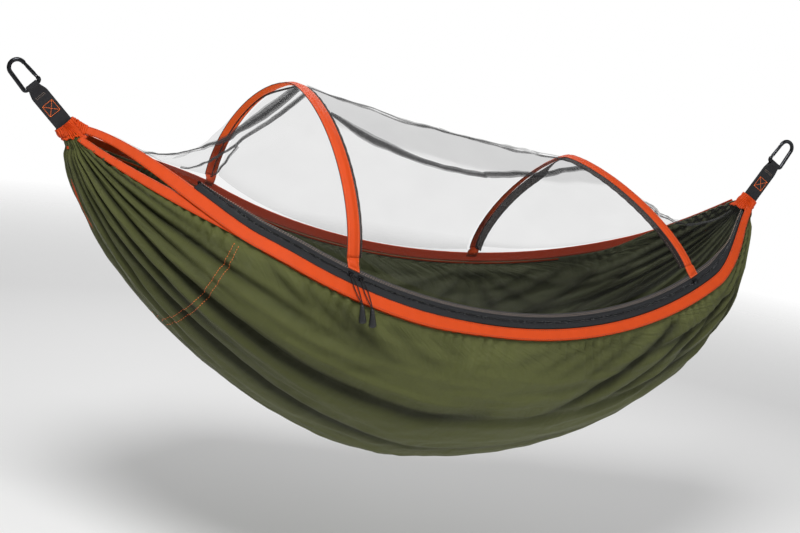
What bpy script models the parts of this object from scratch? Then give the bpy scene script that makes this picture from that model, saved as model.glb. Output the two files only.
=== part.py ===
"""Hammock tent: a gathered-end hammock with a zipped insect net over two hoops, hung on two carabiners."""

import math
from math import cos, pi, radians, sin, sqrt

import bmesh
import bpy
import numpy as np
from mathutils import Matrix, Vector

# Whole object, in metres. The two gathers lie on the X axis of the hammock frame, +Y is the far side
SPAN = 2.0                     # between the gathers as it hangs
GATHER_HALF_WIDTH = 0.030      # from the middle plane to each rim at a gather
CLEARANCE = 0.0003             # between pieces that touch

# Near rim: an arc in a sloping plane with a free curve to each gather. The far rim mirrors it
RIM_MIDDLE_X = 0.113
RIM_HALF_WIDTH = 0.475
RIM_DROP = 0.340
RIM_RADIUS = 1.289
RIM_YAW = radians(7.8)
RIM_PITCH = radians(-1.8)
RIM_LAYOVER = radians(52.5)    # of the arc's plane, below the horizontal
RIM_LEFT_SWEEP = radians(27.8)
RIM_RIGHT_SWEEP = radians(32.2)
LEFT_GATHER_PULL = 0.456       # tangent lengths of the free curves
LEFT_ARC_PULL = 0.464
RIGHT_ARC_PULL = 0.353
RIGHT_GATHER_PULL = 0.276
LEFT_RIM_HEADING_SHARES = (1.0, -0.578, -0.728)
RIGHT_RIM_HEADING_SHARES = (1.0, 0.590, 0.818)
GATHER_FACING_SHARES = (0.20, -0.85, 0.50)    # way the hem faces at a gather

# Belly: the line along the bottom of the cloth, and the cross-section's fullness
BELLY_DEPTH = 0.783
BELLY_X = -0.074
BELLY_TURN_SHARE = 0.51
BELLY_LEFT_POWER_SHARES = (1.508, 1.653)
BELLY_RIGHT_POWER_SHARES = (2.217, 2.002)
SECTION_POWER_SHARE = 2.2
CLOTH_THICKNESS = 0.0030
CLOTH_TUCK = 0.008             # up behind the hem
CLOTH_GATHER_EASE = 0.0035     # further in behind it, at a gather
CLOTH_EASE_SHARE = 0.16
CLOTH_RIM_FADE_SHARES = (0.20, 0.60)    # of the turn's sine, where the folds begin and are full
FOLD_COUNT = 11
FOLD_DEPTH = 0.013
FOLD_DEPTH_SHARE = 0.34        # of a fold's own width, where that is less
LEFT_FOLD_REACH = 0.95
RIGHT_FOLD_REACH = 0.80
CLOTH_STATIONS = 25
FIRST_STATION_SHARE = 0.05

# Hem and net edge along the near rim, outward from the hem's middle line
HEM_WIDTH = 0.048
HEM_THICKNESS = 0.0030
LOW_HEM_WIDTH = 0.030          # of the cloth's own hem left of the split
HEM_GATHER_SHARE = 0.55        # of its width, at a gather
HEM_TAPER_REACH = 0.40
HEM_SPLIT_SHARE = 0.242
LOW_HEM_TUCK_SHARE = 0.030
TOP_HEM_END_INSET = 0.045      # where the net's edge reaches the left gather
TOP_HEM_PULL = 0.408
TOP_HEM_SPLIT_PULL = 0.340
TOP_HEM_HEADING_SHARES = (1.0, -0.566, -0.093)
ZIP_START_SHARE = 0.140
BAND_GAP = 0.0006              # between the strips of the zip
ZIP_TAPE_THICKNESS = 0.0012
LOWER_TAPE_WIDTH = 0.0100
UPPER_TAPE_WIDTH = 0.0080
COIL_ROW_WIDTH = 0.0027
COIL_PARTING = 0.0016
COIL_THICKNESS = 0.0040
NET_TAPE_WIDTH = 0.0120
FAR_NET_TAPE_WIDTH = 0.030

# Collars: the ruched channels at the two gathers
COLLAR_LENGTH = 0.048
COLLAR_CROWN = 0.024
COLLAR_THICKNESS = 0.0030
COLLAR_MOUTH_OUT = 0.008       # strap end, out from the gather
COLLAR_MOUTH_THICKNESS = 0.026
COLLAR_MOUTH_EASE = 0.0032      # round the strap
COLLAR_ROWS = 4
COLLAR_CROWN_STEPS = 8
LEFT_FAN_ANGLE = radians(-63)
RIGHT_FAN_ANGLE = radians(-66)
GATHER_CORD_RADIUS = 0.0025
GATHER_CORD_TURN = 0.0052
GATHER_CORD_INSET = 0.018

# Webbing loops
STRAP_WIDTH = 0.046
STRAP_THICKNESS = 0.0022
STRAP_BIGHT_WIDTH = 0.031
STRAP_INNER_WIDTH = 0.024
STRAP_LENGTH = 0.129           # gather to the middle of the carabiner's bar
STRAP_OPENING_LENGTH = 0.030
STRAP_TAPER_LENGTH = 0.034
LEFT_STRAP_ANGLE = radians(44.5)
RIGHT_STRAP_ANGLE = radians(60.5)

# Carabiners: bar in the webbing, long sides, round far end, gate on the upper side
CARABINER_ROD_RADIUS = 0.0055
CARABINER_HALF_WIDTH = 0.0230
CARABINER_CORNER = 0.0065
CARABINER_LENGTH = 0.0785      # bar to far end, middle of the rod
CARABINER_CROWN_RADIUS = 0.0200
GATE_PIN_UP = 0.0150
GATE_NOSE_UP = 0.0540
GATE_RADIUS = 0.0048
GATE_TONGUE_THICKNESS = 0.0030
GATE_TONGUE_LENGTH = 0.0060
GATE_PIN_RADIUS = 0.0015
GATE_RUNNING_GAP = 0.0004
GATE_SPRING_RADIUS = 0.0020
GATE_SPRING_WIRE = 0.00035
GATE_SPRING_LENGTH = 0.0120
GATE_SPRING_TURNS = 4
GATE_SPRING_SIDES = 6
GATE_PLUNGER_LENGTH = 0.0040

# Hoops: feet on the rim arc, in sweep angles, and the arch between them
HOOP_1_NEAR_SWEEP = radians(-22.2)
HOOP_1_FAR_SWEEP = radians(-29.5)
HOOP_1_HEIGHT = 0.356
HOOP_1_LEAN = radians(1.0)
HOOP_1_POWER_SHARE = 1.64
HOOP_2_NEAR_SWEEP = radians(29.4)
HOOP_2_FAR_SWEEP = radians(10.4)
HOOP_2_HEIGHT = 0.305
HOOP_2_LEAN = radians(-10.5)
HOOP_2_POWER_SHARE = 1.37
HOOP_FAR_FOOT_UP = 0.0105      # above the far hem
HOOP_NEAR_FOOT_UP = 0.0105     # above the net's tape
HOOP_ROD_RADIUS = 0.0028
SLEEVE_WIDTH = 0.036
SLEEVE_DEPTH = 0.0100
SLEEVE_WALL = 0.0012
SLEEVE_FOOT_GAP = 0.012
SLEEVE_SIDES = 8
HOOP_STEPS = 26
BINDING_WIDTH = 0.012
BINDING_THICKNESS = 0.0012
TIP_RADIUS = 0.0048
TIP_LENGTH = 0.011
TIP_BORE_DEPTH = 0.007
TIP_FIT = 0.0004
POCKET_WALL = 0.0020
POCKET_RUNNING_GAP = 0.0009
POCKET_DEPTH = 0.0070

# Net panels
NET_THICKNESS = 0.0012
NET_EDGE_GAP = 0.0034
NET_ROOF_SAG = 0.006
LEFT_NET_SAG = 0.020
RIGHT_NET_SAG = 0.045
ROOF_HOLD_SHARE = 4.0          # how well the roof's ridge stays straight between the hoops
LEFT_HOLD_SHARE = 2.0
LEFT_DROOP_SHARE = 2.0         # how soon a net hangs down from its hoop
RIGHT_DROOP_SHARE = 1.2
LEFT_NET_CLOSE = 0.126         # from the left gather to the net's closed end
RIGHT_NET_CLOSE = 0.075

# Zip sliders and their pulls
SLIDER_A_SWEEP = radians(-22.1)
SLIDER_B_SWEEP = radians(-20.8)
SLIDER_C_SWEEP = radians(29.0)
SLIDER_LENGTH = 0.016
SLIDER_WIDTH = 0.0135
SLIDER_PLATE = 0.0014
SLIDER_GAP = 0.0008
SLIDER_POST = 0.0008
SLIDER_POST_LENGTH = 0.006
SLIDER_FLANGE = 0.0012
BAIL_LENGTH = 0.010
BAIL_WIDTH = 0.0016
BAIL_THICKNESS = 0.0014
BAIL_OPENING = 0.0032
RING_RADIUS = 0.0031
RING_WIRE = 0.0006
CORD_RADIUS = 0.0008
CORD_LOOP_HALF_WIDTH = 0.0055
CORD_OVERHANG = 0.006          # from the hem's lower edge to the grip
CORD_STAND_OUT = 0.0020
PULL_LEAN = radians(10)
GRIP_RADIUS = 0.0085
GRIP_NECK_RADIUS = 0.0034
GRIP_LENGTH = 0.046
GRIP_BORE_DEPTH = 0.007
STOP_LENGTH = 0.006
STOP_SHARE = 0.88              # of the width of both coil rows
STOP_THICKNESS = 0.0070

# Colours, as red, green and blue of a Principled BSDF
OLIVE = (0.085, 0.105, 0.040)
ORANGE = (0.80, 0.115, 0.022)
CHARCOAL = (0.022, 0.022, 0.025)
NET_GREY = (0.050, 0.052, 0.056)
BLACK = (0.012, 0.012, 0.013)
STEEL = (0.45, 0.45, 0.46)

# Unit axes
ACROSS = np.array([0.0, 1.0, 0.0])
UPWARD = np.array([0.0, 0.0, 1.0])
MIRRORED = np.array([1.0, -1.0, 1.0])


def unit(vector):
    vector = np.asarray(vector, float)
    return vector / np.linalg.norm(vector)


def smooth(share):
    share = min(max(share, 0.0), 1.0)
    return share * share * (3 - 2 * share)


def hermite(start, start_pull, end, end_pull, share):
    t = np.asarray(share, float)[..., None]
    return (
        (2 * t**3 - 3 * t**2 + 1) * start
        + (t**3 - 2 * t**2 + t) * start_pull
        + (3 * t**2 - 2 * t**3) * end
        + (t**3 - t**2) * end_pull
    )


# The rim arc: chord way, way of its sag, and its axis, which points out and up
CHORD_WAY = np.array([cos(RIM_YAW) * cos(RIM_PITCH), sin(RIM_YAW) * cos(RIM_PITCH), sin(RIM_PITCH)])
SAG_START = np.array([0.0, -cos(RIM_LAYOVER), -sin(RIM_LAYOVER)])
SAG_WAY = unit(SAG_START - CHORD_WAY * (SAG_START @ CHORD_WAY))
ARC_AXIS = np.cross(SAG_WAY, CHORD_WAY)
ARC_MIDDLE = np.array([RIM_MIDDLE_X, -RIM_HALF_WIDTH, -RIM_DROP])
ARC_CENTRE = ARC_MIDDLE - RIM_RADIUS * SAG_WAY
LEFT_GATHER = np.array([-SPAN / 2, 0.0, 0.0])
RIGHT_GATHER = np.array([SPAN / 2, 0.0, 0.0])


def arc_out(sweep):
    """Unit vector from the arc's centre towards the rim."""
    return sin(sweep) * CHORD_WAY + cos(sweep) * SAG_WAY


def arc_point(sweep, radius=RIM_RADIUS):
    return ARC_CENTRE + radius * arc_out(sweep)


def arc_heading(sweep):
    return cos(sweep) * CHORD_WAY - sin(sweep) * SAG_WAY


def dense_rim():
    """The near rim as many close points, from the left gather to the right one."""
    steps = np.linspace(0.0, 1.0, 201)
    sweeps = -RIM_LEFT_SWEEP + (RIM_LEFT_SWEEP + RIM_RIGHT_SWEEP) * np.linspace(0.0, 1.0, 401)
    arc = np.array([arc_point(sweep) for sweep in sweeps])
    side = GATHER_HALF_WIDTH * ACROSS
    left = hermite(
        LEFT_GATHER - side,
        unit(LEFT_RIM_HEADING_SHARES) * LEFT_GATHER_PULL,
        arc[0],
        arc_heading(-RIM_LEFT_SWEEP) * LEFT_ARC_PULL,
        steps,
    )
    right = hermite(
        arc[-1],
        arc_heading(RIM_RIGHT_SWEEP) * RIGHT_ARC_PULL,
        RIGHT_GATHER - side,
        unit(RIGHT_RIM_HEADING_SHARES) * RIGHT_GATHER_PULL,
        steps,
    )
    return np.concatenate([left[:-1], arc, right[1:]])


RIM_POINTS = dense_rim()
RIM_RUN = np.concatenate([[0.0], np.cumsum(np.linalg.norm(np.diff(RIM_POINTS, axis=0), axis=1))])
RIM_LENGTH = RIM_RUN[-1]
RIM_SHARES = RIM_RUN / RIM_LENGTH
ARC_START_SHARE = RIM_SHARES[200]
ARC_END_SHARE = RIM_SHARES[600]
TINY_SHARE = 0.001


def rim_at(share):
    return np.array([np.interp(share, RIM_SHARES, RIM_POINTS[:, axis]) for axis in range(3)])


def share_of_sweep(sweep):
    run = (sweep + RIM_LEFT_SWEEP) / (RIM_LEFT_SWEEP + RIM_RIGHT_SWEEP)
    return ARC_START_SHARE + run * (ARC_END_SHARE - ARC_START_SHARE)


def top_hem_at(share):
    """Middle line of the near hem, which leaves the cloth's edge left of the split."""
    if share >= HEM_SPLIT_SHARE:
        return rim_at(share)
    start = LEFT_GATHER + np.array([TOP_HEM_END_INSET, -GATHER_HALF_WIDTH, 0.0])
    heading = unit(rim_at(HEM_SPLIT_SHARE + TINY_SHARE) - rim_at(HEM_SPLIT_SHARE))
    return hermite(
        start,
        unit(TOP_HEM_HEADING_SHARES) * TOP_HEM_PULL,
        rim_at(HEM_SPLIT_SHARE),
        heading * TOP_HEM_SPLIT_PULL,
        share / HEM_SPLIT_SHARE,
    )


def facing(share):
    """Way that the hem's outer face looks at this share of the rim."""
    left = unit(np.array(GATHER_FACING_SHARES) * np.array([-1.0, 1.0, 1.0]))
    right = unit(GATHER_FACING_SHARES)
    if share < ARC_START_SHARE:
        turn = smooth(share / ARC_START_SHARE)
        return unit(left * (1 - turn) + ARC_AXIS * turn)
    if share > ARC_END_SHARE:
        turn = smooth((share - ARC_END_SHARE) / (1 - ARC_END_SHARE))
        return unit(ARC_AXIS * (1 - turn) + right * turn)
    return ARC_AXIS


def frame_on(line, share):
    """Point on a rim line with its unit vectors along, up the hem and out of its face."""
    before = max(share - TINY_SHARE, 0.0)
    after = min(share + TINY_SHARE, 1.0)
    along = unit(line(after) - line(before))
    out = facing(share)
    out = unit(out - along * (out @ along))
    return line(share), along, np.cross(out, along), out


def hem_taper(share):
    """Share of its full width that the hem keeps here."""
    run = min(share, 1 - share) * RIM_LENGTH / HEM_TAPER_REACH
    return HEM_GATHER_SHARE + (1 - HEM_GATHER_SHARE) * smooth(run)


def on_band(line, share, up, out):
    """Place at a height up the hem and a distance out of its face."""
    point, _, up_way, out_way = frame_on(line, share)
    return point + up_way * up * hem_taper(share) + out_way * out


def low_hem_width(share):
    turn = smooth((share - HEM_SPLIT_SHARE + 2 * LOW_HEM_TUCK_SHARE) / (2 * LOW_HEM_TUCK_SHARE))
    return LOW_HEM_WIDTH + (HEM_WIDTH - LOW_HEM_WIDTH) * turn


def fan_way(side):
    angle = LEFT_FAN_ANGLE if side < 0 else RIGHT_FAN_ANGLE
    return np.array([-side * cos(angle), 0.0, sin(angle)])


def beyond_collar(point, side):
    """How far a point lies past the plane of a collar's wide end."""
    gather = LEFT_GATHER if side < 0 else RIGHT_GATHER
    return (point - gather) @ fan_way(side) - COLLAR_LENGTH


def collar_share(line, side, limit):
    """Share of a line where it comes out of a collar."""
    low, high = (0.0, limit) if side < 0 else (1.0, limit)
    for _ in range(40):
        middle = (low + high) / 2
        if beyond_collar(line(middle), side) > CLEARANCE:
            high = middle
        else:
            low = middle
    return high


def stations(line, inner, start=None, end=None):
    """Shares along a line: the inner ones, closed by the collars' faces or by given ends."""
    first = collar_share(line, -1, inner[0]) if start is None else start
    last = collar_share(line, 1, inner[-1]) if end is None else end
    middle = [share for share in inner if first + TINY_SHARE < share < last - TINY_SHARE]
    return [first, *middle, last]


COARSE = list(np.linspace(FIRST_STATION_SHARE, 1 - FIRST_STATION_SHARE, CLOTH_STATIONS))
FINE = list(np.linspace(FIRST_STATION_SHARE, 1 - FIRST_STATION_SHARE, 2 * CLOTH_STATIONS - 1))


def belly_at(share):
    """Bottom line of the cloth, in the middle plane."""
    if share < BELLY_TURN_SHARE:
        angle = share / BELLY_TURN_SHARE * pi / 2
        across, down = BELLY_LEFT_POWER_SHARES
        reach = BELLY_X + SPAN / 2
        height = -BELLY_DEPTH * sin(angle) ** (2 / down)
        return np.array([BELLY_X - reach * cos(angle) ** (2 / across), 0.0, height])
    angle = (1 - share) / (1 - BELLY_TURN_SHARE) * pi / 2
    across, down = BELLY_RIGHT_POWER_SHARES
    reach = SPAN / 2 - BELLY_X
    height = -BELLY_DEPTH * abs(sin(angle)) ** (2 / down)
    return np.array([BELLY_X + reach * abs(cos(angle)) ** (2 / across), 0.0, height])


def cloth_edge(share):
    """Top edge of the cloth, tucked behind the hem and behind the lower hem."""
    tuck = (CLOTH_THICKNESS - HEM_THICKNESS) / 2 + 2 * HEM_THICKNESS + 4 * CLEARANCE
    tuck += CLOTH_GATHER_EASE * (1 - smooth(min(share, 1 - share) / CLOTH_EASE_SHARE))
    return on_band(rim_at, share, CLOTH_TUCK - low_hem_width(share) / 2, -tuck)


def smooth_cloth(share, turn):
    """Place on the unfolded cloth: share along it, turn from 0 at the near rim to pi at the far one."""
    edge = cloth_edge(share)
    middle = edge * np.array([1.0, 0.0, 1.0])
    side = -edge[1]
    power = 2 / SECTION_POWER_SHARE
    across = math.copysign(abs(cos(turn)) ** power, cos(turn))
    down = abs(sin(turn)) ** power
    return middle - ACROSS * side * across + (belly_at(share) - middle) * down


def cloth_normal(share, turn):
    step = 0.01
    along = smooth_cloth(min(share + step, 1.0), turn) - smooth_cloth(max(share - step, 0.0), turn)
    around = smooth_cloth(share, min(turn + step, pi)) - smooth_cloth(share, max(turn - step, 0.0))
    return unit(np.cross(around, along))


def half_girth(share):
    turns = np.linspace(0.0, pi, 25)
    points = np.array([smooth_cloth(share, turn) for turn in turns])
    return np.linalg.norm(np.diff(points, axis=0), axis=1).sum()


def fold_depth(share):
    """Depth of the folds, which fade from each gather towards the belly."""
    left = 1 - share * RIM_LENGTH / LEFT_FOLD_REACH
    right = 1 - (1 - share) * RIM_LENGTH / RIGHT_FOLD_REACH
    width = half_girth(share) / FOLD_COUNT
    return min(FOLD_DEPTH_SHARE * width, FOLD_DEPTH) * smooth(max(left, right, 0.0))


def folded_cloth(share, column):
    turn = pi * column / (2 * FOLD_COUNT)
    point = smooth_cloth(share, turn)
    if column in (0, 2 * FOLD_COUNT):
        return point
    wave = 1 if column % 2 else -1
    begin, full = CLOTH_RIM_FADE_SHARES
    fade = min(max((sin(turn) - begin) / (full - begin), 0.0), 1.0)
    return point + cloth_normal(share, turn) * fold_depth(share) * fade * wave


# Scene, materials and object helpers


def clear_scene():
    for obj in list(bpy.data.objects):
        bpy.data.objects.remove(obj, do_unlink=True)


def make_material(name, colour, roughness, metallic=0.0, alpha=1.0):
    material = bpy.data.materials.new(name)
    material.use_nodes = True
    shader = material.node_tree.nodes["Principled BSDF"]
    shader.inputs["Base Color"].default_value = (*colour, 1.0)
    shader.inputs["Roughness"].default_value = roughness
    shader.inputs["Metallic"].default_value = metallic
    shader.inputs["Alpha"].default_value = alpha
    return material


def add_object(name, data, material, pivot=None):
    """Links an object under the hammock's frame, with its origin on its pivot."""
    obj = bpy.data.objects.new(name, data)
    bpy.context.scene.collection.objects.link(obj)
    obj.data.materials.append(material)
    obj.parent = FRAME
    if pivot is not None:
        place = Vector(pivot)
        obj.data.transform(Matrix.Translation(-place))
        obj.location = place
    return obj


def mesh_from(bm, name, sharp=radians(35)):
    bmesh.ops.recalc_face_normals(bm, faces=bm.faces)
    mesh = bpy.data.meshes.new(name)
    bm.to_mesh(mesh)
    bm.free()
    mesh.shade_smooth()
    mesh.set_sharp_from_angle(angle=sharp)
    return mesh


def sheet(name, place, rows, columns, thickness, material, wrapped=False, pivot=None, offset=0.0):
    """A grid laid on a surface by place(row, column), given its thickness by Solidify."""
    bm = bmesh.new()
    bmesh.ops.create_grid(bm, x_segments=rows, y_segments=columns, size=0.5)
    for vert in bm.verts:
        row = round((vert.co.x + 0.5) * rows)
        column = round((vert.co.y + 0.5) * columns)
        vert.co = Vector(place(row, column))
    if wrapped:
        bmesh.ops.remove_doubles(bm, verts=bm.verts, dist=CLEARANCE / 10)
    obj = add_object(name, mesh_from(bm, name), material, pivot)
    solid = obj.modifiers.new("thickness", "SOLIDIFY")
    solid.thickness = thickness
    solid.offset = offset
    solid.use_even_offset = False
    return obj


def band(name, line, shares, low, high, thickness, material, out=0.0, columns=1):
    """A flat strip along a rim line, between two heights up the hem."""
    def place(row, column):
        share = shares[row]
        bottom = low(share) if callable(low) else low
        top = high(share) if callable(high) else high
        return on_band(line, share, bottom + (top - bottom) * column / columns, out)

    return sheet(name, place, len(shares) - 1, columns, thickness, material)


def sweep(name, rings, material, pivot=None):
    """A closed loop drawn ring by ring: the edges of each ring are extruded to the next."""
    bm = bmesh.new()
    verts = [bm.verts.new(point) for point in rings[0]]
    edges = [bm.edges.new(pair) for pair in zip(verts, [*verts[1:], verts[0]])]
    for ring in [*rings[1:], rings[0]]:
        made = bmesh.ops.extrude_edge_only(bm, edges=edges)["geom"]
        fresh = {item for item in made if isinstance(item, bmesh.types.BMVert)}
        verts = [next(edge.other_vert(vert) for edge in vert.link_edges if edge.other_vert(vert) in fresh)
                 for vert in verts]
        edges = [bm.edges.get(pair) for pair in zip(verts, [*verts[1:], verts[0]])]
        for vert, point in zip(verts, ring):
            vert.co = point
    bmesh.ops.remove_doubles(bm, verts=bm.verts, dist=CLEARANCE / 10)
    return add_object(name, mesh_from(bm, name), material, pivot)


def rod_mesh(name, points, radius, closed=False, resolution=2):
    """Mesh of a round rod along points, from a bevelled curve."""
    curve = bpy.data.curves.new(name, "CURVE")
    curve.dimensions = "3D"
    curve.bevel_depth = radius
    curve.bevel_resolution = resolution
    curve.use_fill_caps = not closed
    curve.twist_mode = "MINIMUM"
    spline = curve.splines.new("POLY")
    spline.points.add(len(points) - 1)
    for knot, point in zip(spline.points, points):
        knot.co = (*point, 1.0)
    spline.use_cyclic_u = closed
    holder = bpy.data.objects.new(name + "_path", curve)
    bpy.context.scene.collection.objects.link(holder)
    bpy.context.view_layer.update()
    mesh = bpy.data.meshes.new_from_object(holder.evaluated_get(bpy.context.evaluated_depsgraph_get()))
    bpy.data.objects.remove(holder, do_unlink=True)
    bm = bmesh.new()
    bm.from_mesh(mesh)
    bpy.data.meshes.remove(mesh)
    bmesh.ops.remove_doubles(bm, verts=bm.verts, dist=CLEARANCE / 10)
    return mesh_from(bm, name)


def rod(name, points, radius, material, closed=False, pivot=None, resolution=2):
    return add_object(name, rod_mesh(name, points, radius, closed, resolution), material, pivot)


def basis(x_way, y_way, z_way, origin):
    """Matrix that carries local axes to the given ways at the origin."""
    matrix = Matrix.Identity(4)
    for column, way in enumerate((x_way, y_way, z_way, origin)):
        for row in range(3):
            matrix[row][column] = way[row]
    return matrix


def box_mesh(bm, low, high):
    size = [b - a for a, b in zip(low, high)]
    middle = [(a + b) / 2 for a, b in zip(low, high)]
    scale = Matrix.Diagonal((*size, 1.0))
    bmesh.ops.create_cube(bm, size=1.0, matrix=Matrix.Translation(middle) @ scale)


def boxes(name, corners, matrix, material, pivot=None):
    """Boxes given by their low and high corners, carried by a matrix. Joined later by Booleans."""
    bm = bmesh.new()
    for low, high in corners:
        box_mesh(bm, low, high)
    bmesh.ops.transform(bm, matrix=matrix, verts=bm.verts)
    return add_object(name, mesh_from(bm, name), material, pivot)


def turned(name, profile, matrix, material, steps=12, pivot=None):
    """A closed profile of (radius, height) points spun about the local Z axis."""
    bm = bmesh.new()
    ring = [bm.verts.new((radius, 0.0, height)) for radius, height in profile]
    edges = [bm.edges.new(pair) for pair in zip(ring, ring[1:])]
    if profile[0][0] > 0 or profile[-1][0] > 0:
        edges.append(bm.edges.new((ring[-1], ring[0])))
    bmesh.ops.spin(
        bm, geom=[*ring, *edges], cent=(0, 0, 0), axis=(0, 0, 1), angle=2 * pi, steps=steps, use_merge=True
    )
    bmesh.ops.remove_doubles(bm, verts=bm.verts, dist=CLEARANCE / 10)
    bmesh.ops.transform(bm, matrix=matrix, verts=bm.verts)
    return add_object(name, mesh_from(bm, name), material, pivot)


def combine(obj, others, operation):
    """Applies the others to an object, as a union or a cut, and removes them."""
    for other in others:
        boolean = obj.modifiers.new(other.name, "BOOLEAN")
        boolean.operation = operation
        boolean.object = other
        bpy.context.view_layer.update()
        shaped = bpy.data.meshes.new_from_object(obj.evaluated_get(bpy.context.evaluated_depsgraph_get()))
        obj.modifiers.clear()
        old = obj.data
        obj.data = shaped
        bpy.data.meshes.remove(old)
        bpy.data.objects.remove(other, do_unlink=True)
    obj.data.shade_smooth()
    obj.data.set_sharp_from_angle(angle=radians(35))


# Body cloth, hems and zip


def make_cloth(material):
    columns = 2 * FOLD_COUNT
    shares = [
        stations(lambda share, column=column: smooth_cloth(share, pi * column / columns), COARSE)
        for column in range(columns + 1)
    ]
    sheet(
        "body_fabric",
        lambda row, column: folded_cloth(shares[column][row], column),
        len(COARSE) + 1,
        columns,
        CLOTH_THICKNESS,
        material,
    )


def make_hems(orange):
    half = HEM_WIDTH / 2
    band("near_hem", top_hem_at, stations(top_hem_at, FINE), -half, half, HEM_THICKNESS, orange)
    tucked = -HEM_THICKNESS - 3 * CLEARANCE
    low_end = HEM_SPLIT_SHARE + LOW_HEM_TUCK_SHARE
    low_half = LOW_HEM_WIDTH / 2
    shares = stations(rim_at, FINE, end=low_end)
    band("near_lower_hem", rim_at, shares, -low_half, low_half, HEM_THICKNESS, orange, tucked)


def make_far_side(orange, mesh_grey):
    half = HEM_WIDTH / 2
    shares = stations(rim_at, COARSE)

    def low_edge(share):
        return -low_hem_width(share) / 2

    for name, bottom, top, out, material in (
        ("far_hem", low_edge, half, 0.0, orange),
        ("far_net_tape", half - FAR_NET_TAPE_WIDTH, half, -HEM_THICKNESS - CLEARANCE, mesh_grey),
    ):
        obj = band(name, rim_at, shares, bottom, top, HEM_THICKNESS, material, out)
        obj.modifiers["thickness"].thickness = HEM_THICKNESS if out == 0 else ZIP_TAPE_THICKNESS
        mirror_across(obj)


def mirror_across(obj):
    bm = bmesh.new()
    bm.from_mesh(obj.data)
    bmesh.ops.scale(bm, vec=MIRRORED, verts=bm.verts)
    bmesh.ops.recalc_face_normals(bm, faces=bm.faces)
    bm.to_mesh(obj.data)
    bm.free()


LOWER_TAPE_LOW = HEM_WIDTH / 2 + BAND_GAP
LOWER_TAPE_HIGH = LOWER_TAPE_LOW + LOWER_TAPE_WIDTH
LOWER_COIL_LOW = LOWER_TAPE_HIGH + CLEARANCE
LOWER_COIL_HIGH = LOWER_COIL_LOW + COIL_ROW_WIDTH
COIL_MIDDLE = LOWER_COIL_HIGH + COIL_PARTING / 2
UPPER_COIL_LOW = LOWER_COIL_HIGH + COIL_PARTING
UPPER_COIL_HIGH = UPPER_COIL_LOW + COIL_ROW_WIDTH
UPPER_TAPE_LOW = UPPER_COIL_HIGH + CLEARANCE
UPPER_TAPE_HIGH = UPPER_TAPE_LOW + UPPER_TAPE_WIDTH
NET_TAPE_LOW = UPPER_TAPE_HIGH + CLEARANCE
NET_TAPE_HIGH = NET_TAPE_LOW + NET_TAPE_WIDTH


def make_zip(tape, coil, mesh_grey, metal):
    shares = stations(top_hem_at, FINE, start=ZIP_START_SHARE)
    coil_shares = [share for share in shares if share < shares[-1]]
    for name, low, high, thickness, material, run in (
        ("zip_lower_tape", LOWER_TAPE_LOW, LOWER_TAPE_HIGH, ZIP_TAPE_THICKNESS, tape, shares),
        ("zip_lower_coil", LOWER_COIL_LOW, LOWER_COIL_HIGH, COIL_THICKNESS, coil, coil_shares),
        ("zip_upper_coil", UPPER_COIL_LOW, UPPER_COIL_HIGH, COIL_THICKNESS, coil, coil_shares),
        ("zip_upper_tape", UPPER_TAPE_LOW, UPPER_TAPE_HIGH, ZIP_TAPE_THICKNESS, tape, shares),
        ("near_net_tape", NET_TAPE_LOW, NET_TAPE_HIGH, ZIP_TAPE_THICKNESS, mesh_grey, shares),
    ):
        band(name, top_hem_at, run, low, high, thickness, material)
    make_zip_stops(shares[0], coil_shares[-1], metal)


def make_zip_stops(first, last, metal):
    """Crimped end stops that close the coils at both ends."""
    width = UPPER_COIL_HIGH - LOWER_COIL_LOW
    for name, share, way in (("zip_left_stop", first, -1), ("zip_right_stop", last, 1)):
        _, along, up, out = frame_on(top_hem_at, share)
        seat = on_band(top_hem_at, share, COIL_MIDDLE, 0.0)
        seat = seat + along * way * (STOP_LENGTH / 2 + CLEARANCE)
        half = np.array([STOP_LENGTH, width * STOP_SHARE * hem_taper(share), STOP_THICKNESS]) / 2
        boxes(name, [(-half, half)], basis(along, up, out, seat), metal)


# Collars, gathering cords and webbing


def strap_ways(side):
    """Way out along the strap and across it, upward side positive."""
    angle = LEFT_STRAP_ANGLE if side < 0 else RIGHT_STRAP_ANGLE
    out = np.array([side * cos(angle), 0.0, sin(angle)])
    return out, np.array([-side * sin(angle), 0.0, cos(angle)])


def collar_ring(side):
    """Ring at a collar's wide end: the folded cloth's own section, closed over the top."""
    columns = 2 * FOLD_COUNT
    limit = COARSE[0] if side < 0 else COARSE[-1]
    points = []
    for column in range(columns + 1):
        turn = pi * column / columns
        share = collar_share(lambda s, turn=turn: smooth_cloth(s, turn), side, limit)
        points.append(folded_cloth(share, column) - fan_way(side) * 2 * CLEARANCE)
    near, far = points[0], points[-1]
    middle = (near + far) / 2
    bottom = points[FOLD_COUNT]
    crown_way = unit(middle - bottom)
    for step in range(1, COLLAR_CROWN_STEPS):
        angle = pi * step / COLLAR_CROWN_STEPS
        crown = crown_way * COLLAR_CROWN * sin(angle)
        points.append(middle + (far - middle) * cos(angle) + crown)
    return points


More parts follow.
